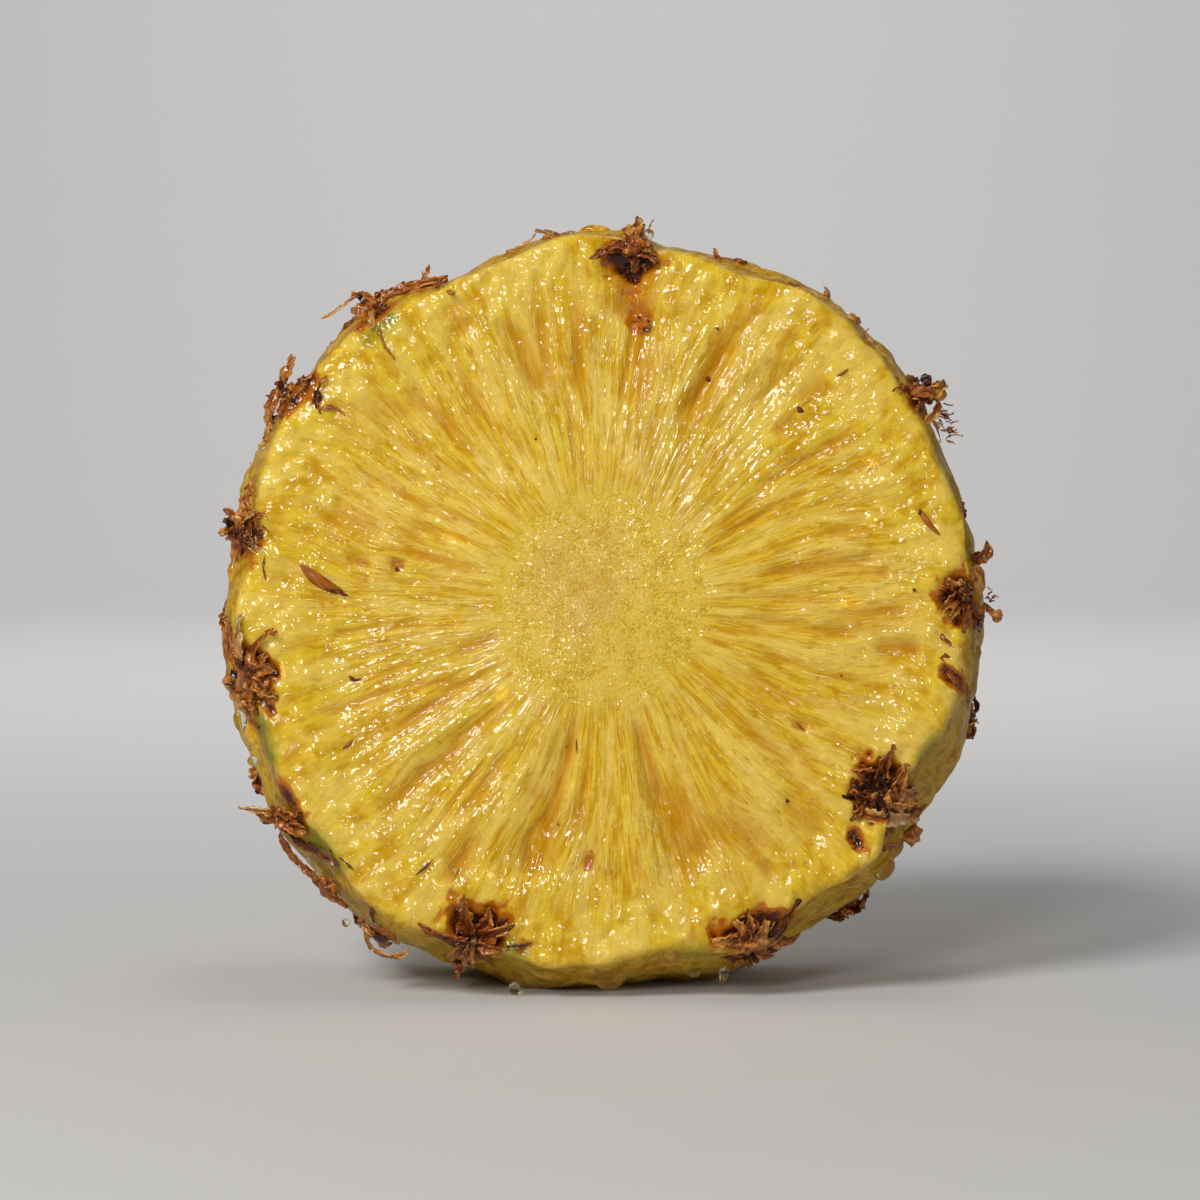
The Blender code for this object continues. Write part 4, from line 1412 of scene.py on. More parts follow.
FRONT_EYES = (
    EyeRemains("eye_top", (
        Thicket((3.8, 46.9, 0.0), 2.8, 14, 0.18),
        Shred((3.9, 47.2, 0.2), (-1.7, 45.9, 1.0), 2.0, 0.7, 0.5, 0.18),
        Shred((3.0, 47.6, 0.1), (-0.6, 46.6, 0.8), 1.5, 0.6, 0.2, 0.34),
        Shred((4.2, 47.0, 0.3), (7.2, 45.4, 1.0), 2.0, 0.6, -0.4, 0.26),
        Shred((4.6, 47.8, 0.2), (6.9, 46.6, 0.7), 1.3, 0.4, 0.0, 0.40),
        Shred((3.6, 46.8, 0.3), (4.6, 44.6, 0.6), 1.6, 0.7, 0.0, 0.30),
        Lump((4.2, 47.6, 0.2), (2.1, 1.5, 1.0), 0.24),
        Lump((4.0, 49.6, 0.2), (1.7, 1.7, 1.1), 0.50, 0.6),
        Shred((4.3, 49.4, 0.6), (4.6, 52.6, 0.4), 1.8, 0.3, 0.1, 0.55, cup=0.6),
        Shred((3.4, 49.0, 0.4), (2.6, 50.8, 0.8), 1.2, 0.4, 0.2, 0.50),
        Tuft((4.3, 48.8, 0.6), 1.7, 1.9, 30, (0.0, 0.5, 0.8), 0.52),
        Tuft((5.4, 48.2, 0.6), 1.0, 1.4, 10, (0.4, -0.2, 0.9), 0.40),
        Tuft((3.4, 44.1, 0.0), 0.9, 0.7, 6, (0.0, 0.2, 0.7), 0.16),
        Tuft((5.0, 37.8, 0.0), 1.4, 1.1, 7, (0.4, -0.2, 0.4), 0.24),
        Lump((6.0, 36.6, 0.0), (0.7, 0.4, 0.3), 0.2),
    )),
    EyeRemains("bracts_upper_right", (
        Shred((15.4, 45.8, -0.8), (15.0, 48.4, -0.3), 1.0, 0.2, 0.1, 0.42),
        Shred((16.0, 46.4, -0.9), (19.6, 45.9, -0.4), 1.3, 0.4, -0.2, 0.30),
        Shred((14.6, 46.6, -1.0), (17.4, 47.0, -0.7), 0.9, 0.3, 0.2, 0.45),
        Lump((17.6, 46.1, -1.0), (1.9, 0.7, 0.9), 0.26),
        Lump((25.2, 42.7, -1.4), (1.6, 0.6, 0.8), 0.14),
        Tuft((25.5, 43.0, -1.0), 1.2, 0.8, 8, (0.3, 0.5, 0.4), 0.2),
        Lump((29.6, 41.0, -1.0), (0.8, 1.0, 0.7), 0.50),
        Shred((29.9, 41.0, -0.8), (30.1, 43.2, -0.5), 0.9, 0.2, 0.2, 0.52, 0.5),
        Lump((33.2, 38.2, -1.0), (1.6, 0.8, 0.8), 0.52),
        Lump((35.8, 35.2, -0.9), (0.8, 1.3, 0.8), 0.55),
    )),
    EyeRemains("eye_right_upper", (
        Thicket((43.4, 28.5, 0.0), 2.6, 12, 0.22),
        Lump((41.6, 30.0, -0.6), (1.5, 0.8, 0.9), 0.06, 0.6),
        Lump((43.4, 29.2, -0.6), (1.2, 0.7, 0.9), 0.10, 0.6),
        Shred((41.0, 28.4, 0.2), (45.2, 28.0, 0.9), 1.5, 0.8, 0.2, 0.44, 0.2),
        Shred((43.2, 27.9, 0.3), (46.2, 29.9, 0.2), 1.9, 0.9, 0.3, 0.56, 0.35, 0.5),
        Lump((45.2, 28.7, 0.2), (1.3, 1.3, 0.9), 0.58, 0.35),
        Shred((44.9, 28.2, 0.4), (43.3, 24.2, 0.2), 1.3, 0.6, -0.5, 0.56, 0.3, 0.5),
        Shred((43.6, 25.4, 0.2), (45.6, 22.0, -0.4), 0.9, 0.3, -0.3, 0.58),
        Shred((43.0, 27.4, 0.2), (41.5, 25.2, 0.3), 0.9, 0.4, 0.1, 0.34),
        Shred((41.5, 28.8, 0.2), (38.8, 28.5, 0.6), 0.8, 0.3, 0.1, 0.30),
        Tuft((40.0, 28.6, 0.1), 1.3, 1.2, 14, (-0.7, -0.1, 0.5), 0.5, 0.18),
        Tuft((45.8, 25.6, -1.4), 1.4, 1.5, 16, (0.9, -0.3, 0.2), 0.34, 0.16),
        Tuft((46.6, 23.4, -1.4), 0.9, 1.3, 12, (0.9, -0.1, 0.2), 0.42, 0.16),
        Lump((42.2, 26.2, -0.2), (1.0, 1.2, 0.4), 0.18),
    )),
    EyeRemains("eye_right", (
        Thicket((47.3, 0.5, 0.0), 3.0, 15, 0.16),
        Lump((47.2, 0.9, -0.5), (1.9, 1.6, 0.7), 0.05, 0.6),
        Shred((47.6, 1.2, 0.0), (49.3, 4.1, 0.5), 1.6, 0.6, 0.2, 0.34),
        Shred((47.4, 1.6, 0.1), (45.3, 2.9, 0.9), 1.5, 0.6, -0.2, 0.36),
        Shred((47.2, 0.6, 0.1), (44.9, -1.4, 0.9), 1.9, 0.8, 0.2, 0.42, 0.6),
        Shred((47.6, 0.2, 0.1), (46.2, -2.4, 0.8), 1.4, 0.5, 0.2, 0.52, 0.6),
        Shred((48.4, -0.2, 0.0), (48.0, -4.2, 0.3), 1.5, 0.8, 0.3, 0.22),
        Shred((49.4, -0.4, 0.0), (50.6, -3.6, -0.6), 1.7, 0.7, -0.4, 0.30),
        Lump((49.2, -2.4, -0.9), (1.7, 2.2, 0.7), 0.02, 0.5),
        Lump((50.2, 3.0, -0.4), (1.4, 2.2, 1.0), 0.62, 0.15),
        Shred((49.6, 5.4, -0.4), (51.8, 8.3, -0.2), 1.9, 0.6, 0.3, 0.36, 0.5, 0.5),
        Shred((50.0, 6.4, -0.4), (52.4, 6.6, -0.6), 1.3, 0.4, 0.0, 0.30),
        Shred((51.0, -0.2, -0.6), (53.0, -1.9, -0.4), 0.9, 0.3, 0.1, 0.48, 0.0),
        Lump((53.0, -1.8, -0.4), (0.8, 0.8, 0.7), 0.56, 0.55),
        Tuft((47.4, 1.1, 0.2), 1.1, 0.9, 14, (0.0, 0.2, 0.8), 0.20, 0.2),
        Tuft((51.4, 1.6, -0.9), 1.6, 0.9, 8, (0.8, 0.1, 0.3), 0.36, 0.2),
        Shred((44.9, -4.6, 0.1), (46.2, -5.8, 0.3), 0.7, 0.2, 0.1, 0.16),
    )),
    EyeRemains("scale_right_lower", (
        Shred((45.0, -7.4, 0.2), (48.3, -11.8, 0.3), 1.2, 0.3, -0.5, 0.34),
        Shred((45.8, -9.4, 0.1), (47.4, -12.8, 0.2), 0.7, 0.2, -0.2, 0.44),
        Shred((48.2, -10.6, -0.3), (49.0, -14.2, -0.8), 0.9, 0.3, 0.0, 0.40),
    )),
    EyeRemains("eye_right_lower", (
        Thicket((36.4, -25.2, 0.0), 4.4, 29, 0.10),
        Lump((36.0, -25.0, -1.5), (3.4, 3.0, 1.0), 0.04, 0.5),
        Shred((37.2, -24.0, -0.4), (38.5, -19.4, 0.6), 2.4, 0.8, -0.4, 0.36, cup=0.6),
        Shred((36.6, -23.6, -0.6), (36.4, -20.8, 0.4), 1.8, 0.6, 0.2, 0.30, cup=0.6),
        Shred((35.4, -23.8, -0.4), (33.0, -22.6, 0.6), 2.2, 0.6, 0.4, 0.30, cup=0.6),
        Shred((34.8, -25.0, -0.6), (32.4, -25.6, 0.4), 1.8, 0.5, 0.0, 0.26, cup=0.5),
        Shred((34.6, -26.4, -0.4), (32.7, -29.2, 0.6), 1.9, 0.6, -0.3, 0.28, cup=0.5),
        Shred((38.8, -25.4, 0.0), (40.4, -21.8, 0.4), 2.0, 0.8, -0.2, 0.48, cup=0.5),
        Shred((38.4, -26.6, 0.0), (41.6, -25.0, 0.4), 2.4, 0.9, 0.3, 0.62, 0.5, 0.5),
        Shred((33.8, -28.2, 0.1), (40.8, -28.8, 0.7), 2.0, 0.9, 0.5, 0.86, 0.35, 0.5),
        Shred((34.4, -28.9, 0.1), (38.8, -29.6, 0.3), 1.0, 0.4, 0.1, 0.60, 0.5),
        Lump((39.0, -26.6, -0.2), (1.8, 1.3, 0.8), 0.60, 0.6),
        Lump((41.2, -28.2, -0.6), (1.6, 1.2, 0.9), 0.62, 0.5),
        Shred((40.6, -28.4, 0.1), (43.2, -27.0, -0.6), 1.3, 0.4, 0.2, 0.40),
        Tuft((36.2, -25.2, -0.6), 2.2, 1.4, 26, (0.1, 0.1, 0.8), 0.22, 0.24),
        Lump((33.6, -31.4, -0.6), (1.3, 1.2, 0.5), 0.20, 0.5),
        Tuft((33.4, -31.9, -0.1), 0.9, 0.9, 10, (0.0, -0.2, 0.5), 0.08, 0.24),
        Shred((35.6, -31.6, -0.2), (38.8, -30.2, 0.1), 1.0, 0.4, 0.2, 0.44),
        Shred((36.6, -33.0, -0.4), (40.6, -31.0, -0.3), 0.9, 0.4, 0.2, 0.36),
        Lump((41.6, -31.2, -2.0), (1.2, 1.4, 0.9), 0.50, 0.5),
    )),
    EyeRemains("eye_lower_right", (
        Thicket((19.5, -45.6, 0.0), 3.6, 21, 0.30),
        Lump((18.6, -45.4, -0.6), (3.6, 1.2, 1.1), 0.42, 0.6),
        Lump((22.4, -45.6, -0.8), (2.0, 1.4, 1.1), 0.46, 0.6),
        Shred((17.4, -44.6, 0.1), (14.4, -45.4, 0.6), 1.5, 0.6, 0.2, 0.56, 0.5),
        Shred((18.2, -44.6, 0.2), (17.4, -42.4, 0.4), 1.5, 0.5, 0.2, 0.52, 0.4),
        Shred((19.2, -44.4, 0.2), (19.0, -41.0, 0.4), 1.3, 0.5, 0.1, 0.50),
        Shred((20.6, -44.8, 0.2), (21.4, -42.6, 0.5), 1.5, 0.5, -0.1, 0.56, 0.4),
        Shred((21.8, -45.0, 0.2), (25.9, -39.6, 0.5), 1.3, 0.6, -0.3, 0.12, 0.7),
        Shred((22.4, -45.4, 0.1), (25.2, -41.6, 0.1), 1.0, 0.4, -0.4, 0.06, 0.7),
        Shred((19.8, -45.6, 0.2), (22.6, -47.2, -0.6), 1.7, 0.6, 0.2, 0.36),
        Lump((17.6, -47.0, -1.6), (2.6, 0.8, 1.0), 0.12, 0.5),
        Lump((20.4, -46.8, -1.4), (1.4, 0.8, 0.9), 0.03, 0.5),
        Shred((23.6, -45.4, -0.8), (26.2, -44.4, -1.2), 1.2, 0.4, 0.0, 0.40),
        Tuft((19.0, -44.6, 0.3), 2.6, 1.1, 22, (0.0, 0.4, 0.6), 0.56, 0.22),
        Tuft((17.0, -46.6, -0.8), 1.6, 0.9, 10, (0.0, -0.3, 0.6), 0.14, 0.2),
    )),
    EyeRemains("eye_lower_left", (
        Thicket((-16.9, -45.0, 0.0), 3.2, 17, 0.16),
        Lump((-17.2, -44.6, -0.6), (2.4, 1.6, 0.8), 0.16, 0.6),
        Shred((-17.6, -44.2, 0.1), (-18.4, -39.1, 0.8), 2.7, 0.8, -0.2, 0.34, cup=0.6),
        Shred((-16.4, -44.2, 0.1), (-14.9, -40.9, 0.7), 2.2, 0.8, 0.2, 0.32, cup=0.6),
        Shred((-16.2, -44.8, 0.1), (-11.7, -43.0, 0.8), 2.7, 1.0, -0.3, 0.36, cup=0.5),
        Shred((-16.6, -45.6, 0.0), (-13.2, -46.0, 0.5), 1.8, 0.6, 0.0, 0.44, cup=0.5),
        Shred((-18.2, -45.2, 0.1), (-24.5, -42.8, 0.5), 1.3, 0.6, -0.2, 0.16),
        Shred((-18.2, -45.4, -0.1), (-22.4, -44.0, 0.2), 1.3, 0.5, 0.1, 0.36),
        Shred((-17.6, -45.6, 0.0), (-17.6, -48.4, -0.5), 2.0, 0.9, 0.2, 0.52, 0.7, 0.5),
        Shred((-18.6, -46.0, -0.2), (-20.6, -47.4, -0.9), 1.6, 0.6, 0.2, 0.50),
        Shred((-16.4, -46.4, -0.2), (-14.6, -48.0, -0.9), 1.3, 0.5, 0.0, 0.46),
        Tuft((-17.0, -44.8, 0.2), 1.8, 1.2, 24, (0.0, 0.2, 0.7), 0.30, 0.24),
        Lump((-19.4, -48.6, -2.2), (0.8, 1.0, 0.8), 0.32),
        Shred((-19.4, -48.8, -2.0), (-19.7, -50.6, -1.8), 0.9, 0.3, 0.0, 0.36),
        Shred((-12.8, -46.0, 0.0), (-9.6, -45.4, 0.2), 0.6, 0.2, 0.1, 0.10),
    )),
    EyeRemains("twig_lower_left", (
        Shred((-32.0, -43.4, -0.6), (-28.2, -47.2, -0.4), 0.9, 0.5, 1.2, 0.60, 0.2),
        Shred((-28.6, -47.2, -0.5), (-26.0, -46.4, -0.3), 0.8, 0.3, 0.2, 0.66, 0.7),
        Shred((-31.6, -43.4, -0.5), (-27.4, -45.4, -0.6), 0.8, 0.3, -0.9, 0.44, 0.3),
        Lump((-29.8, -44.6, -1.6), (1.8, 1.1, 0.7), 0.04, 0.5),
        Shred((-32.2, -42.6, -0.6), (-30.6, -44.4, -0.2), 1.2, 0.4, 0.0, 0.50, 0.4),
        Shred((-30.7, -40.6, -0.2), (-30.8, -42.6, -0.2), 0.6, 0.2, 0.1, 0.16),
    )),
    EyeRemains("bract_left_lower", (
        Thicket((-42.4, -29.4, 0.0), 2.4, 10, 0.18),
        Lump((-43.2, -28.8, -0.6), (2.4, 1.1, 1.1), 0.34, 0.6),
        Shred((-43.4, -28.2, -0.2), (-48.9, -27.4, -0.2), 1.2, 0.4, 0.3, 0.72, 0.95),
        Shred((-43.8, -28.8, -0.4), (-46.6, -28.2, -0.6), 1.5, 0.4, -0.2, 0.52),
        Shred((-44.4, -28.0, 0.1), (-39.6, -30.6, 0.6), 2.5, 0.9, -0.4, 0.30, 0.5, 0.5),
        Shred((-43.0, -28.2, 0.2), (-40.6, -28.9, 0.9), 1.5, 0.6, -0.3, 0.56, 0.5),
        Shred((-42.2, -29.8, -0.2), (-38.6, -33.4, 0.1), 1.5, 0.5, 0.2, 0.10),
        Shred((-39.4, -32.0, -0.1), (-34.2, -35.4, 0.1), 1.1, 0.3, 0.3, 0.10),
        Shred((-36.4, -33.2, 0.1), (-33.2, -35.6, 0.2), 0.8, 0.3, -0.2, 0.16),
        Shred((-43.6, -31.0, -1.2), (-38.2, -37.2, -1.0), 1.5, 0.4, 0.2, 0.32, 0.4),
        Shred((-39.0, -36.2, -1.4), (-34.4, -40.6, -1.2), 1.6, 0.5, 0.2, 0.30, 0.6),
        Lump((-37.2, -38.2, -1.6), (1.3, 1.7, 0.8), 0.34, 0.5),
        Tuft((-41.8, -29.4, 0.2), 1.6, 1.1, 18, (-0.2, 0.3, 0.7), 0.42, 0.22),
    )),
    EyeRemains("eye_left", (
        Thicket((-47.0, -10.2, 0.0), 3.4, 21, 0.24),
        Shred((-49.2, -8.6, -0.2), (-50.8, -1.8, 0.2), 1.9, 0.6, 0.5, 0.46, cup=0.5),
        Shred((-48.6, -8.4, 0.1), (-50.0, -2.8, 0.5), 1.2, 0.5, 0.2, 0.26),
        Shred((-48.2, -8.0, 0.1), (-48.4, -2.0, 0.6), 1.7, 0.6, 0.0, 0.92, 0.7, 0.4),
        Shred((-47.2, -8.2, 0.2), (-44.0, -3.9, 0.9), 1.0, 0.5, -0.5, 0.34),
        Shred((-44.4, -4.4, 0.8), (-43.4, -4.2, 1.1), 0.5, 0.1, 0.1, 0.30, 0.4),
        Lump((-47.0, -9.4, -0.4), (1.9, 2.0, 0.9), 0.30, 0.6),
        Lump((-46.0, -12.0, -0.6), (1.9, 1.6, 0.7), 0.38, 0.6),
        Shred((-47.0, -9.6, 0.2), (-43.6, -9.2, 0.6), 2.0, 0.7, -0.2, 0.42, 0.8, 0.5),
        Shred((-46.6, -10.6, 0.2), (-43.4, -12.8, 0.5), 2.1, 0.7, 0.1, 0.44, 0.8, 0.5),
        Shred((-47.2, -11.4, 0.1), (-46.2, -15.0, 0.3), 1.9, 0.6, 0.0, 0.40, 0.7, 0.5),
        Lump((-50.0, -10.6, -0.6), (1.2, 1.2, 1.1), 0.52, 0.3),
        Lump((-49.4, -12.4, -0.5), (1.0, 1.0, 1.0), 0.56, 0.3),
        Lump((-48.4, -13.6, -0.4), (0.9, 0.8, 0.8), 0.60, 0.3),
        Shred((-48.0, -13.8, -0.2), (-46.0, -16.8, -0.1), 0.9, 0.3, 0.2, 0.16),
        Tuft((-46.4, -10.6, 0.2), 2.2, 1.2, 34, (0.2, 0.1, 0.7), 0.40, 0.24),
        Lump((-50.6, -5.4, -1.2), (0.9, 2.6, 0.9), 0.54, 0.4),
    )),
    EyeRemains("eye_left_upper", (
        Thicket((-48.2, 9.8, 0.0), 3.0, 16, 0.16),
        Lump((-48.0, 8.6, -0.5), (1.7, 2.2, 0.9), 0.04, 0.6),
        Tuft((-47.8, 9.4, 0.1), 2.0, 2.1, 30, (0.5, -0.7, 0.5), 0.16, 0.22),
        Tuft((-46.8, 8.2, 0.1), 1.3, 1.7, 12, (0.4, -0.8, 0.4), 0.92, 0.10),
        Shred((-49.4, 11.6, -0.2), (-51.4, 12.8, -0.2), 1.1, 0.4, 0.2, 0.44),
        Shred((-49.6, 9.8, -0.3), (-52.0, 9.7, -0.4), 1.2, 0.4, -0.2, 0.46, 0.7),
        Shred((-48.6, 11.0, 0.1), (-46.6, 11.8, 0.7), 1.5, 0.5, -0.2, 0.52, 0.6),
        Lump((-49.2, 11.2, -0.4), (1.4, 1.2, 1.0), 0.48, 0.6),
        Lump((-49.8, 9.4, -0.6), (1.1, 1.0, 0.9), 0.46, 0.6),
        Lump((-48.2, 13.4, -0.5), (1.2, 1.6, 1.0), 0.56, 0.5),
        Lump((-47.4, 15.4, -0.5), (0.9, 1.2, 0.8), 0.60, 0.5),
        Shred((-49.6, 8.6, -0.5), (-49.2, 4.8, -0.8), 1.5, 0.4, 0.2, 0.56, 0.4),
        Shred((-48.2, 15.0, -0.1), (-47.8, 16.4, 0.1), 0.7, 0.3, 0.0, 0.10),
        Shred((-45.2, 6.0, 0.0), (-45.0, 2.8, 0.0), 0.35, 0.1, 0.3, 0.14),
        Lump((-45.7, 8.6, -0.1), (0.45, 0.5, 0.25), 0.05),
    )),
    EyeRemains("eye_upper_left", (
        Thicket((-41.8, 28.6, 0.0), 2.6, 11, 0.22),
        Lump((-40.8, 29.5, -0.6), (1.0, 0.8, 0.6), 0.03, 0.5),
        Shred((-40.2, 29.2, 0.0), (-39.4, 30.6, 0.3), 0.8, 0.3, 0.1, 0.22),
        Lump((-38.3, 27.4, -0.2), (0.7, 1.2, 0.5), 0.06, 0.6),
        Shred((-38.2, 27.8, 0.1), (-37.2, 30.1, 0.5), 0.7, 0.3, -0.2, 0.26),
        Shred((-38.5, 27.4, 0.1), (-37.9, 25.2, 0.2), 0.8, 0.3, 0.1, 0.12),
        Shred((-43.2, 30.0, -0.6), (-42.0, 33.6, -0.6), 1.9, 0.5, 0.3, 0.58, 0.4),
        Shred((-43.8, 29.2, -0.6), (-45.2, 24.6, -0.6), 2.4, 0.6, -0.2, 0.46, 0.4, 0.4),
        Shred((-42.6, 28.2, -0.2), (-43.2, 24.0, -0.2), 1.5, 0.4, 0.1, 0.30, 0.6),
        Shred((-44.6, 25.6, -0.5), (-45.8, 21.4, -0.5), 1.7, 0.4, -0.2, 0.62, 0.5),
        Shred((-38.0, 25.6, 0.0), (-34.6, 24.8, 0.1), 0.45, 0.1, -0.7, 0.40),
        Tuft((-43.2, 27.6, -0.2), 1.8, 1.0, 16, (-0.5, 0.3, 0.4), 0.34, 0.2),
    )),
    EyeRemains("wisps_upper_left", (
        Thicket((-31.2, 40.6, 0.0), 2.6, 12, 0.22),
        Shred((-31.6, 41.2, -0.1), (-21.2, 44.2, 0.3), 1.7, 0.6, 0.6, 0.40, 0.5, 0.5),
        Shred((-31.0, 40.6, 0.1), (-22.6, 43.2, 0.7), 1.0, 0.5, 0.3, 0.34, 0.4),
        Shred((-22.4, 44.0, 0.3), (-20.2, 41.2, 0.5), 1.4, 0.5, 0.9, 0.34, 0.8),
        Shred((-24.8, 43.0, 0.1), (-23.6, 46.0, 0.0), 0.8, 0.2, 0.1, 0.46, 0.6),
        Shred((-24.2, 43.4, 0.1), (-24.6, 45.2, -0.1), 0.5, 0.1, 0.0, 0.44, 0.6),
        Shred((-31.0, 41.2, 0.0), (-34.2, 41.9, 0.1), 1.2, 0.4, 0.2, 0.44, 0.5),
        Shred((-33.8, 41.9, 0.1), (-38.3, 38.8, 0.2), 0.55, 0.3, -0.9, 0.78, 0.8),
        Lump((-32.6, 40.0, -0.4), (1.4, 1.5, 1.1), 0.50, 0.5),
        Lump((-31.0, 40.8, -0.3), (1.5, 1.0, 1.0), 0.32, 0.6),
        Shred((-31.6, 40.0, 0.2), (-31.0, 36.6, 0.4), 1.0, 0.4, -0.3, 0.74, 0.6),
        Shred((-31.0, 38.0, 0.2), (-29.0, 33.6, 0.1), 0.7, 0.3, 0.3, 0.36),
        Shred((-30.2, 36.4, 0.1), (-28.0, 32.4, 0.1), 0.5, 0.2, 0.2, 0.42),
        Shred((-30.4, 39.8, 0.1), (-26.0, 39.2, 0.3), 1.0, 0.3, 0.2, 0.08, 0.7),
        Shred((-32.6, 39.0, -0.5), (-36.4, 35.6, -0.8), 1.4, 0.4, 0.2, 0.34, 0.6),
        Tuft((-30.4, 40.6, 0.3), 1.5, 1.0, 18, (0.0, 0.3, 0.6), 0.36, 0.2),
        Lump((-27.0, 42.0, -0.4), (2.6, 0.8, 0.9), 0.40, 0.6),
    )),
    EyeRemains("wisp_top_left", (
        Shred((-5.6, 50.0, -0.4), (-9.3, 50.9, -0.2), 0.8, 0.3, -0.2, 0.56, 0.5),
        Shred((-9.0, 50.9, -0.2), (-12.0, 48.7, 0.0), 0.32, 0.1, -0.9, 0.86, 0.6, thick=0.15),
        Shred((-6.6, 49.8, -0.3), (-3.8, 50.4, -0.5), 0.9, 0.3, 0.2, 0.66, 0.5),
        Lump((-7.4, 49.4, -0.8), (1.1, 0.7, 0.7), 0.44, 0.5),
        Lump((-12.4, 47.9, -0.9), (0.8, 0.5, 0.5), 0.42, 0.5),
    )),
)


@dataclass(frozen=True)
class RimEyes:
    """The eyes further back on the rim: flat, torn rosettes where they were pared.

    Attributes:
        form: the fruit's form.
        seed: picks their shapes.
    """

    form: FruitForm
    seed: int = 11

    def rosette(self, number: int, clock: float, depth: float, size: float) -> EyeRemains:
        """One eye's remains.

        Args:
            number: its number, which names it.
            clock: clockwise degrees of its middle.
            depth: its middle's depth from mid-thickness.
            size: its size.

        Returns:
            The eye, whose places are on the rim.
        """
        draw = random.Random(self.seed * 100 + number)
        per_mm = math.degrees(1.0 / self.form.girth_radius)
        parts: list[Shred | Lump | Tuft] = [Lump((clock, depth, 0.3), (1.5 * size, 1.7 * size, 0.9 * size), 0.2, 0.5)]
        blades = draw.randint(5, 7)
        for blade in range(blades):
            way = math.tau * (blade + draw.uniform(-0.3, 0.3)) / blades
            reach = draw.uniform(2.6, 4.6) * size
            root = (clock + 0.6 * math.cos(way) * per_mm, depth + 0.6 * math.sin(way), 0.5)
            tip_depth = min(depth + reach * math.sin(way), 0.5 * self.form.thickness - 0.4)
            tip = (clock + reach * math.cos(way) * per_mm, tip_depth, draw.uniform(0.1, 1.2))
            parts.append(Shred(
                root, tip, draw.uniform(1.3, 2.3) * size, draw.uniform(0.4, 1.0), draw.uniform(-0.5, 0.5),
                draw.uniform(0.2, 0.6), draw.uniform(0.6, 0.95), draw.uniform(0.3, 0.6),
            ))
        parts.append(Tuft((clock, depth, 0.6), 1.4 * size, 1.3, 14, (0.0, 0.2, 0.8), 0.4, 0.22))
        return EyeRemains(f"eye_rim_{number:02d}", tuple(parts))

    def build(self, material: bpy.types.Material, place: FruitFrame) -> list[bpy.types.Object]:
        """Makes the back row's eyes, leaving out those that the slice stands on."""
        made = []
        thickness = self.form.thickness
        ground = RimGround(self.form)
        for number, (angle, depth, size) in enumerate(self.form.eye_places()):
            clock = math.degrees(angle) % 360.0
            if depth < 0.5 or abs(clock - 180.0) < 22.0:
                continue
            eye = self.rosette(number, clock, (depth - 0.5) * thickness, 0.85 * size)
            made.append(eye.build(ground, material, place))
        return made


# ---------------------------------------------------------------- seeds


@dataclass(frozen=True)
class Seed:
    """A seed or speck that lies on the front face.

    Attributes:
        start: one end, as (across, up, lift).
        end: the other end.
        width: its greatest width.
        shade: from 0, nearly black, to 1, orange tan.
    """

    start: Place
    end: Place
    width: float
    shade: float = 0.3

    def grow(self, clay: Clay, ground: Ground, seed: float) -> None:
        """Adds the seed to the clay: a ball drawn out to an almond."""
        start, end = ground.point(self.start), ground.point(self.end)
        facing = ground.facing(self.start)
        reach = end - start
        side = reach.cross(facing).normalized()
        facing = side.cross(reach).normalized()
        ball = bmesh.ops.create_uvsphere(clay.mesh, u_segments=12, v_segments=12, radius=1.0)
        for corner in ball["verts"]:
            unit = corner.co.copy()
            run = 0.5 + 0.5 * unit.z
            slim = 0.5 * self.width * (1.0 - 0.45 * abs(unit.z) ** 2) * (1.0 - 0.3 * run)
            bumps = noise.noise(unit * 2.4 + Vector((seed, 0, 0)))
            swell = 1.0 + 0.22 * bumps
            bend = side * (0.25 * self.width * math.sin(math.pi * run))
            corner.co = start + reach * run + bend + (side * unit.x + facing * (0.7 * unit.y)) * (slim * swell)
            corner[clay.shade] = self.shade + 0.3 * bumps - 0.25 * smooth_end(run)
            corner[clay.grain] = Vector((unit.x * self.width, 5.0 * run, seed))


def smooth_end(run: float) -> float:
    """1 at the last fifth of a run from 0 to 1, and 0 before it."""
    return float(smooth_step(0.75, 1.0, np.array(run)))


@dataclass(frozen=True)
class SeedFinish:
    """Glossy seed coats, dark brown to orange."""

    dark: tuple[float, float, float] = (82, 36, 8)
    middle: tuple[float, float, float] = (152, 80, 16)
    light: tuple[float, float, float] = (206, 136, 52)

    def make(self) -> bpy.types.Material:
        """Builds the material.

        Returns:
            The finished seed coat.
        """
        sheet = NodeSheet("seed_coat")
        shade = sheet.mask("shade")
        grain = sheet.add("Attribute", {"attribute_name": "grain"}).outputs["Vector"]
        ribs = sheet.noise(sheet.scaled(grain, (5.0, 0.8, 1.0)), detail=2.0)
        level = sheet.math("ADD", shade, sheet.math("MULTIPLY", sheet.math("SUBTRACT", ribs, 0.5), 0.8))
        tone = sheet.mix(sheet.spread(level, 0.0, 0.4), colour(*self.dark), colour(*self.middle))
        tone = sheet.mix(sheet.spread(level, 0.4, 0.9), tone, colour(*self.light))
        shader = sheet.shader
        sheet.feed(shader.inputs["Base Color"], tone)
        sheet.feed(shader.inputs["Roughness"], sheet.spread(ribs, 0.3, 0.7, 0.25, 0.45))
        sheet.feed(shader.inputs["Normal"], sheet.bump(ribs, 0.0002, 0.6))
        shader.inputs["Specular IOR Level"].default_value = 0.15
        shader.inputs["Coat Weight"].default_value = 0.35
        shader.inputs["Coat Roughness"].default_value = 0.08
        shader.inputs["Coat IOR"].default_value = 1.34
        return sheet.material


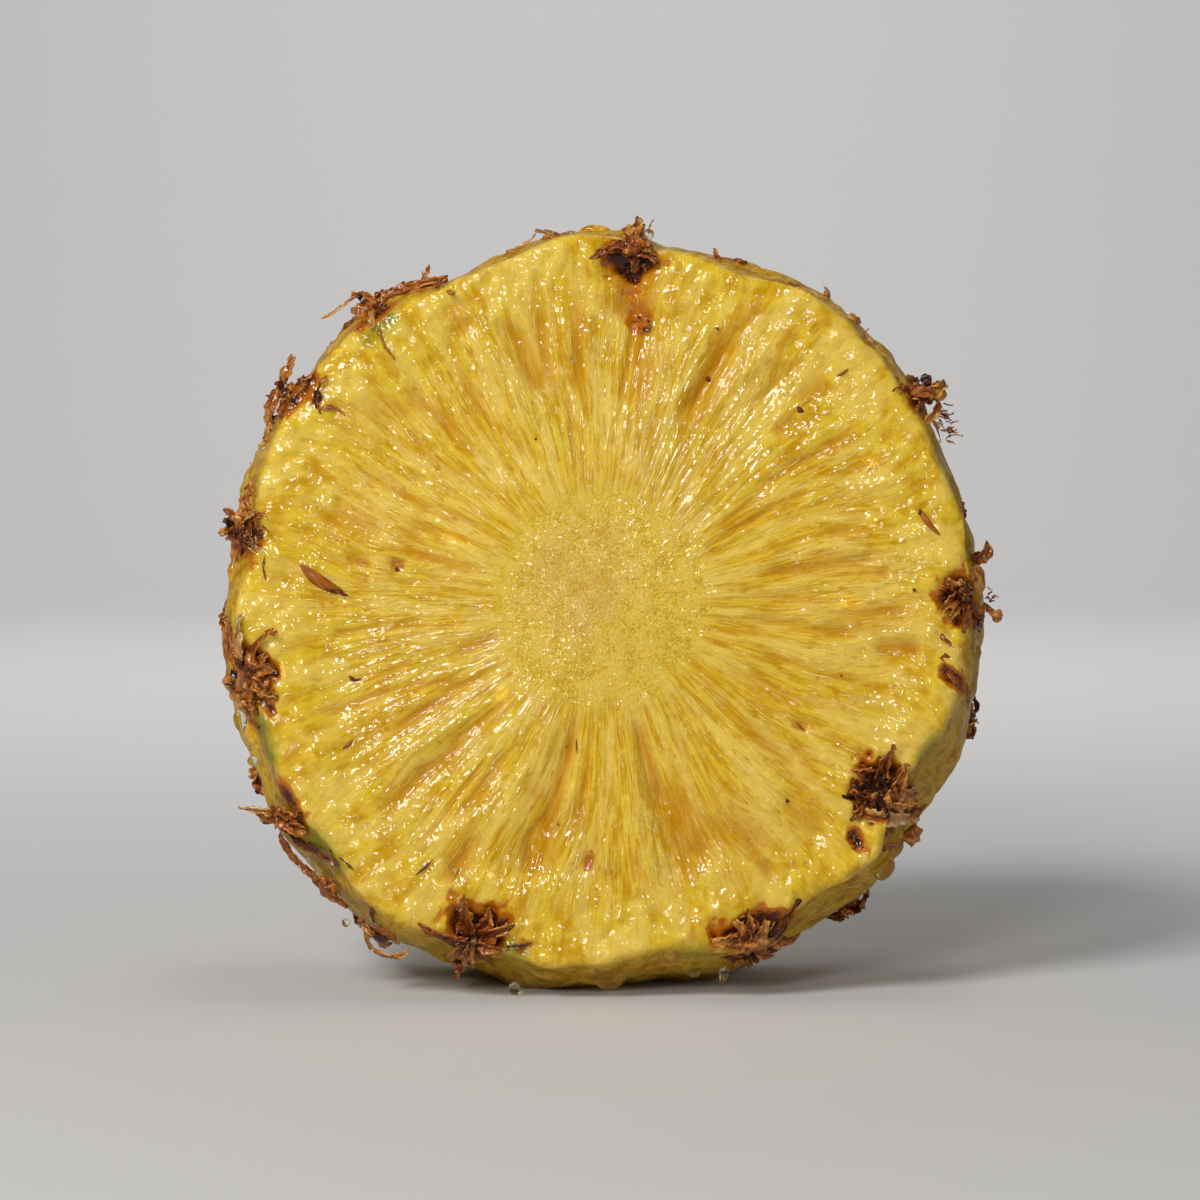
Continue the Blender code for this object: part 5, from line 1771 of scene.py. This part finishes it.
SEEDS = (
    Seed((-40.6, 4.8, 0.1), (-34.7, 1.2, 0.4), 1.9, 0.45),
    Seed((-40.2, 4.1, 0.2), (-35.4, 0.8, 0.2), 1.1, 0.25),
    Seed((-35.6, 1.4, 0.3), (-34.0, 0.6, 0.3), 0.6, 0.05),
    Seed((42.1, 12.3, 0.1), (44.9, 8.6, 0.3), 1.0, 0.5),
    Seed((42.2, 12.2, 0.3), (42.6, 11.2, 0.3), 0.7, 0.05),
    Seed((26.0, 26.1, 0.0), (26.9, 25.3, 0.2), 0.9, 0.08),
    Seed((31.2, 30.1, 0.0), (32.8, 31.1, 0.2), 0.5, 0.3),
    Seed((13.9, 30.4, 0.1), (14.4, 29.6, 0.1), 0.7, 0.1),
    Seed((15.0, 36.8, 0.1), (15.6, 36.4, 0.2), 0.4, 0.2),
    Seed((-9.2, 21.8, 0.0), (-8.9, 21.5, 0.1), 0.4, 0.15),
    Seed((-34.0, -10.0, 0.1), (-32.8, -10.8, 0.2), 0.6, 0.1),
    Seed((-33.4, -10.6, 0.1), (-32.2, -10.4, 0.1), 0.3, 0.15),
    Seed((-34.8, -19.8, 0.0), (-33.4, -18.6, 0.1), 0.6, 0.4),
    Seed((24.2, -26.5, 0.0), (24.7, -26.8, 0.2), 0.6, 0.05),
    Seed((25.6, -16.2, 0.0), (26.8, -17.4, 0.1), 0.5, 0.4),
    Seed((-25.0, -36.6, 0.1), (-22.6, -34.4, 0.2), 0.4, 0.1),
    Seed((-5.0, -19.1, 0.0), (-4.9, -19.7, 0.1), 0.35, 0.15),
    Seed((-3.6, -18.4, 0.0), (-3.5, -20.6, 0.1), 0.3, 0.2),
    Seed((-27.8, 4.5, 0.0), (-27.2, 4.0, 0.1), 0.8, 0.12),
    Seed((41.2, 1.6, 0.0), (41.7, 1.2, 0.1), 0.5, 0.15),
    Seed((31.6, -9.8, 0.0), (31.9, -10.3, 0.1), 0.4, 0.3),
    Seed((-6.2, -29.6, 0.0), (-5.8, -30.0, 0.1), 0.35, 0.3),
)


# ---------------------------------------------------------------- strands and beads


class Crowd:
    """Many copies of one small closed shape, joined in one mesh and moved all at once."""

    def __init__(self, name: str, count: int, subdivisions: int) -> None:
        """Joins the copies.

        Args:
            name: the piece's name.
            count: how many copies.
            subdivisions: how fine each ball is.
        """
        ball = bmesh.new()
        bmesh.ops.create_icosphere(ball, subdivisions=subdivisions, radius=1.0)
        single = bpy.data.meshes.new("ball")
        ball.to_mesh(single)
        ball.free()
        joined = bmesh.new()
        for _ in range(count):
            joined.from_mesh(single)
        self.mesh = bpy.data.meshes.new(name)
        joined.to_mesh(self.mesh)
        joined.free()
        corners = np.empty(len(single.vertices) * 3)
        single.vertices.foreach_get("co", corners)
        self.ball = corners.reshape(1, -1, 3)
        self.count = count
        bpy.data.meshes.remove(single)

    def put(self, points: Array, place: FruitFrame) -> None:
        """Moves every corner: points has one row for each copy and corner."""
        self.mesh.vertices.foreach_set("co", place.place(points.reshape(-1, 3)).ravel())
        self.mesh.update()

    def label(self, name: str, values: Array) -> None:
        """Stores one number for each copy on its corners."""
        spread = np.repeat(values, self.ball.shape[1])
        self.mesh.attributes.new(name, "FLOAT", "POINT").data.foreach_set("value", spread)


@dataclass(frozen=True)
class Scatter:
    """Slender things strewn along the fibres of a cut face.

    Attributes:
        name: the piece's name.
        count: how many there are.
        reach: the nearest and farthest distance from the axis.
        length: the shortest and longest.
        width: the narrowest and widest.
        flat: height as a share of width.
        sink: how much of the height lies under the surface, from 0 to 1.
        seed: picks their places.
        subdivisions: how fine each one is.
        tangle: how far they stray from the fibres' way, in radians.
    """

    name: str
    count: int
    reach: tuple[float, float]
    length: tuple[float, float]
    width: tuple[float, float]
    flat: float
    sink: float
    seed: int
    subdivisions: int = 1
    tangle: float = 0.06

    def strew(self, ground: FaceGround, place: FruitFrame) -> Crowd:
        """Lays them on the face.

        Args:
            ground: the face.
            place: the fruit's frame.

        Returns:
            The joined copies, each with a random shade.
        """
        crowd = Crowd(self.name, self.count, self.subdivisions)
        draw = np.random.default_rng(self.seed)
        face = ground.face
        low, high = self.reach
        middle = np.sqrt(draw.uniform(low**2, high**2, self.count))
        label = draw.uniform(0.0, math.tau, self.count)
        length = draw.uniform(*self.length, self.count) * draw.uniform(0.4, 1.0, self.count)
        width = draw.uniform(*self.width, self.count)
        turn = draw.normal(0.0, self.tangle, self.count)[:, None]
        ball = crowd.ball
        forth, side = 0.5 * length[:, None] * ball[..., 0], 0.5 * width[:, None] * ball[..., 1]
        run = middle[:, None] + forth * np.cos(turn) - side * np.sin(turn)
        across = forth * np.sin(turn) + side * np.cos(turn)
        fibre = label[:, None]
        angle = fibre - (face.strand_angle(fibre, run) - fibre)
        x = run * np.sin(angle) + across * np.cos(angle)
        z = run * np.cos(angle) - across * np.sin(angle)
        height = self.flat * width[:, None] * (0.5 * ball[..., 2] + 0.5 - self.sink)
        y = ground.depths(x, z) + ground.side * height
        crowd.put(np.stack([x, y, z], axis=-1), place)
        crowd.label("shade", draw.uniform(0.0, 1.0, self.count))
        return crowd


@dataclass(frozen=True)
class StrandFinish:
    """Single pale fibres, glossy with juice."""

    golden: tuple[float, float, float] = (230, 184, 58)
    cream: tuple[float, float, float] = (244, 216, 130)

    def make(self) -> bpy.types.Material:
        """Builds the material.

        Returns:
            The finished fibre.
        """
        sheet = NodeSheet("strand")
        shade = sheet.mask("shade")
        cloud = sheet.noise(sheet.object_place(), scale=1400.0, detail=2.0)
        level = sheet.math("ADD", shade, sheet.math("MULTIPLY", sheet.math("SUBTRACT", cloud, 0.5), 0.8))
        shader = sheet.shader
        tone = sheet.mix(sheet.spread(level, 0.1, 0.9), colour(*self.golden), colour(*self.cream))
        sheet.feed(shader.inputs["Base Color"], tone)
        sheet.feed(shader.inputs["Roughness"], sheet.spread(cloud, 0.3, 0.7, 0.35, 0.5))
        sheet.feed(shader.inputs["Normal"], sheet.bump(cloud, 0.0002, 0.5))
        shader.inputs["Specular IOR Level"].default_value = 0.1
        shader.inputs["Coat Weight"].default_value = 0.7
        shader.inputs["Coat Roughness"].default_value = 0.06
        shader.inputs["Coat IOR"].default_value = 1.38
        return sheet.material


@dataclass(frozen=True)
class JuiceFinish:
    """Clear juice, faintly yellow, or amber where it is thick.

    Attributes:
        tint: its colour as seen through.
        name: the material's name.
    """

    name: str = "juice"
    tint: tuple[float, float, float] = (255, 246, 214)

    def make(self) -> bpy.types.Material:
        """Builds the material.

        Returns:
            The finished juice.
        """
        sheet = NodeSheet(self.name)
        swirl = sheet.noise(sheet.object_place(), scale=500.0, detail=1.0)
        shader = sheet.shader
        red, green, blue, _ = colour(*self.tint)
        deeper = (red * 0.96, green * 0.93, blue * 0.82, 1.0)
        tone = sheet.mix(sheet.spread(swirl, 0.35, 0.65), (red, green, blue, 1.0), deeper)
        sheet.feed(shader.inputs["Base Color"], tone)
        sheet.feed(shader.inputs["Roughness"], sheet.spread(swirl, 0.3, 0.7, 0.0, 0.04))
        shader.inputs["Transmission Weight"].default_value = 1.0
        shader.inputs["IOR"].default_value = 1.34
        return sheet.material


@dataclass(frozen=True)
class Drop:
    """A drop of juice.

    Attributes:
        middle: its place.
        size: its radii along the ground's first and second directions, and off the ground.
        hang: how far its lower end is drawn down.
    """

    middle: Place
    size: tuple[float, float, float]
    hang: float = 0.0

    def grow(self, clay: Clay, ground: Ground, seed: float) -> None:
        """Adds the drop to the clay."""
        centre, facing = ground.point(self.middle), ground.facing(self.middle)
        level = Vector((0, 0, 1)).cross(facing)
        level = level.normalized() if level.length > 0.1 else Vector((0, 1, 0))
        upward = facing.cross(level)
        ball = bmesh.ops.create_icosphere(clay.mesh, subdivisions=4, radius=1.0)
        across, up, off = self.size
        for corner in ball["verts"]:
            unit = corner.co.copy()
            wobble = 1.0 + 0.06 * noise.noise(unit * 1.3 + Vector((seed, 0, 0)))
            corner.co = centre + wobble * (
                -level * (unit.x * across) + upward * (unit.y * up) + facing * (unit.z * off)
            )
            corner.co.z -= self.hang * max(0.0, -unit.y) ** 2
            corner[clay.grain] = unit


CLEAR_DROPS = (
    Drop((3.2, 50.6, -0.9), (0.9, 0.8, 0.9)),
    Drop((6.1, 50.4, -0.9), (0.8, 0.7, 0.8)),
    Drop((20.7, 44.9, -1.2), (1.6, 0.8, 0.9)),
    Drop((26.4, 42.2, -1.0), (1.1, 0.7, 0.8)),
    Drop((28.2, 41.4, -0.9), (0.9, 0.7, 0.8)),
    Drop((52.0, 7.0, -1.6), (0.8, 1.0, 0.8)),
    Drop((50.2, -6.6, -1.2), (0.7, 1.0, 0.8)),
    Drop((34.4, -35.7, 0.0), (0.95, 0.95, 0.85)),
    Drop((-48.9, -15.7, -0.4), (0.9, 1.3, 0.9), 0.3),
    Drop((-47.2, -21.3, -0.6), (0.7, 0.7, 0.7)),
    Drop((-34.5, -42.9, -0.8), (0.6, 0.6, 0.6)),
    Drop((-11.9, -51.7, -1.6), (0.8, 0.9, 0.8), 0.3),
    Drop((16.1, -49.7, -1.8), (0.7, 1.0, 0.7), 0.6),
    Drop((12.0, -49.4, -1.8), (1.1, 0.8, 0.9)),
    Drop((-43.2, 21.3, -0.6), (0.7, 0.6, 0.6)),
    Drop((-46.2, 21.4, -0.8), (0.6, 0.6, 0.6)),
    Drop((-35.8, 33.4, -0.6), (0.8, 0.5, 0.6)),
    Drop((36.4, 18.6, -0.2), (1.5, 0.8, 0.5)),
    Drop((33.0, -0.2, -0.2), (1.9, 0.9, 0.6)),
    Drop((-15.2, -36.4, 0.0), (0.4, 0.5, 0.4)),
    Drop((-13.6, -12.4, -0.1), (0.9, 1.1, 0.5)),
    Drop((15.8, 41.2, -0.1), (0.5, 0.6, 0.4)),
)

AMBER_DROPS = (
    Drop((0.6, -49.6, -0.7), (2.5, 1.6, 1.3), 0.9),
    Drop((-1.2, 50.6, -1.3), (2.3, 1.0, 1.3)),
    Drop((37.6, -35.4, -1.6), (1.7, 1.5, 1.3), 0.5),
    Drop((39.0, -32.6, -1.9), (1.5, 1.4, 1.2), 0.4),
    Drop((-49.9, 4.3, -0.7), (0.9, 1.5, 0.9)),
)


# ---------------------------------------------------------------- studio


@dataclass(frozen=True)
class Studio:
    """A pale floor, soft lights and the camera.

    Attributes:
        place: the fruit's frame, which the camera aims at.
        lens: the camera's lens in mm.
        view_width: how much the view spans at the front face, in mm.
        elevation: degrees that the camera looks down.
    """

    place: FruitFrame
    lens: float = 100.0
    view_width: float = 159.9
    elevation: float = 3.0
    face_depth: float = -15.0
    aim_left: float = 0.5
    floor_back: float = 0.9
    floor_front: float = 1.2
    half_floor: float = 2.0
    sweep: float = 0.6

    def floor(self) -> None:
        """A pale sheet that lies flat under the slice and sweeps up behind it."""
        sheet_mesh = bmesh.new()
        sweep = [
            (self.floor_back + self.sweep * math.sin(turn), self.sweep * (1.0 - math.cos(turn)))
            for turn in np.linspace(0.0, 0.5 * math.pi, 12)
        ]
        outline = [(-self.floor_front, 0.0), *sweep, (self.floor_back + self.sweep, 3.0)]
        corners = [sheet_mesh.verts.new((-self.half_floor, y, z)) for y, z in outline]
        chain = [sheet_mesh.edges.new(pair) for pair in zip(corners, corners[1:])]
        wide = bmesh.ops.extrude_edge_only(sheet_mesh, edges=chain)["geom"]
        moved = [item for item in wide if isinstance(item, bmesh.types.BMVert)]
        bmesh.ops.translate(sheet_mesh, verts=moved, vec=(2.0 * self.half_floor, 0.0, 0.0))
        mesh = bpy.data.meshes.new("floor")
        sheet_mesh.to_mesh(mesh)
        sheet_mesh.free()
        mesh.shade_smooth()
        sheet = NodeSheet("floor")
        sheet.shader.inputs["Base Color"].default_value = (0.60, 0.59, 0.58, 1.0)
        sheet.shader.inputs["Roughness"].default_value = 0.8
        mesh.materials.append(sheet.material)
        floor = bpy.data.objects.new("floor", mesh)
        bpy.context.scene.collection.objects.link(floor)

    def light(
        self, name: str, spot: tuple[float, float, float], size: float, power: float, target: Vector | None = None,
    ) -> None:
        """A square soft light that faces the slice, or another target."""
        lamp = bpy.data.lights.new(name, "AREA")
        lamp.size = size
        lamp.energy = power
        holder = bpy.data.objects.new(name, lamp)
        holder.location = spot
        aim = (target or self.place.middle) - Vector(spot)
        holder.rotation_euler = aim.to_track_quat("-Z", "Y").to_euler()
        bpy.context.scene.collection.objects.link(holder)

    def camera(self) -> None:
        """The camera, level with the slice's middle and looking down a little."""
        lens = bpy.data.cameras.new("camera")
        lens.lens = self.lens
        lens.sensor_width = 36.0
        lens.clip_start = 0.01
        tilt = math.radians(self.elevation)
        look = Vector((0.0, math.cos(tilt), -math.sin(tilt)))
        target = Vector(self.place.place([(0.0, self.face_depth, 0.0)])[0])
        target.x -= self.aim_left * MM
        distance = self.view_width * MM * self.lens / lens.sensor_width
        camera = bpy.data.objects.new("camera", lens)
        camera.location = target - look * distance
        camera.rotation_euler = look.to_track_quat("-Z", "Y").to_euler()
        bpy.context.scene.collection.objects.link(camera)
        bpy.context.scene.camera = camera

    def build(self) -> None:
        """Sets up everything round the slice."""
        self.floor()
        self.light("key", (-0.46, -0.56, 0.68), 0.27, 5.9)
        self.light("sparkle", (-0.24, -0.86, 0.46), 0.20, 2.5)
        self.light("fill", (0.80, -0.60, 0.30), 0.4, 0.9)
        self.light("top", (0.10, 0.10, 0.95), 0.3, 1.0)
        self.light("backdrop", (0.0, 0.45, 0.9), 0.8, 9.0, Vector((0.0, 1.5, 0.35)))
        self.camera()
        world = bpy.data.worlds.new("studio")
        world.use_nodes = True
        world.node_tree.nodes["Background"].inputs["Color"].default_value = (0.95, 0.97, 1.0, 1.0)
        world.node_tree.nodes["Background"].inputs["Strength"].default_value = 0.08
        scene = bpy.context.scene
        scene.world = world
        scene.view_settings.view_transform = "Standard"
        scene.view_settings.look = "None"


def dress_faces(place: FruitFrame, front: CutFace, back: CutFace) -> None:
    """Lays loose fibres and beads of juice on both cut faces.

    Args:
        place: the fruit's frame.
        front: the front cut face.
        back: the back cut face.
    """
    fibre, juice = StrandFinish().make(), JuiceFinish().make()
    front_ground, back_ground = FaceGround(front), FaceGround(back, 1)
    scatters = (
        (Scatter("strands_front", 320, (15.0, 44.0), (1.5, 6.0), (0.08, 0.2), 0.5, 0.6, 21), front_ground, fibre, "flesh"),
        (Scatter("strands_back", 320, (15.0, 44.0), (1.5, 6.0), (0.08, 0.2), 0.5, 0.6, 22), back_ground, fibre, "flesh"),
        (Scatter("beads_front", 90, (4.0, 48.0), (0.25, 0.9), (0.2, 0.5), 0.7, 0.35, 23, 2), front_ground, juice, "juice"),
        (Scatter("beads_back", 40, (4.0, 48.0), (0.25, 0.9), (0.2, 0.5), 0.7, 0.35, 24, 2), back_ground, juice, "juice"),
    )
    for scatter, ground, material, slot in scatters:
        mesh = scatter.strew(ground, place).mesh
        mesh.materials.append(material)
        mesh.shade_smooth()
        add_piece(scatter.name, mesh, slot)


def dress_eyes(place: FruitFrame, form: FruitForm, ground: FaceGround) -> None:
    """Adds what is left of the eyes, and the seeds.

    Args:
        place: the fruit's frame.
        form: the fruit's form.
        ground: the front face.
    """
    dried = DriedFinish().make()
    for eye in FRONT_EYES:
        eye.build(ground, dried, place)
    RimEyes(form).build(dried, place)
    clay = Clay()
    for number, seed in enumerate(SEEDS):
        seed.grow(clay, ground, 5.3 * number)
    clay.finish("seeds", SeedFinish().make(), place, "seed")


def dress_juice(place: FruitFrame, ground: FaceGround) -> None:
    """Adds the drops that hang on the slice.

    Args:
        place: the fruit's frame.
        ground: the front face.
    """
    amber = JuiceFinish("juice_amber", (255, 236, 170))
    for name, drops, finish in (
        ("drops_clear", CLEAR_DROPS, JuiceFinish("juice_clear", (255, 252, 240))),
        ("drops_amber", AMBER_DROPS, amber),
    ):
        clay = Clay()
        for number, drop in enumerate(drops):
            drop.grow(clay, ground, 2.9 * number)
        clay.finish(name, finish.make(), place, "juice")


def main() -> None:
    """Builds the slice, its dressing and the studio, and reports each piece."""
    logging.basicConfig(level=logging.INFO, format="%(message)s")
    place = FruitFrame.of_node(CAD_NODE)
    LOG.info("axis at %s", [round(part / MM, 3) for part in place.middle])
    form = FruitForm()
    front, back = CutFace(form, 100, FRONT_MARKS), CutFace(form, 300, BACK_MARKS)
    body = SliceBody(form, place, front, back).build()
    LOG.info("%s: %d faces", body.name, len(body.data.polygons))
    dress_faces(place, front, back)
    dress_eyes(place, form, FaceGround(front))
    dress_juice(place, FaceGround(front))
    Studio(place).build()


if __name__ == "__main__":
    main()
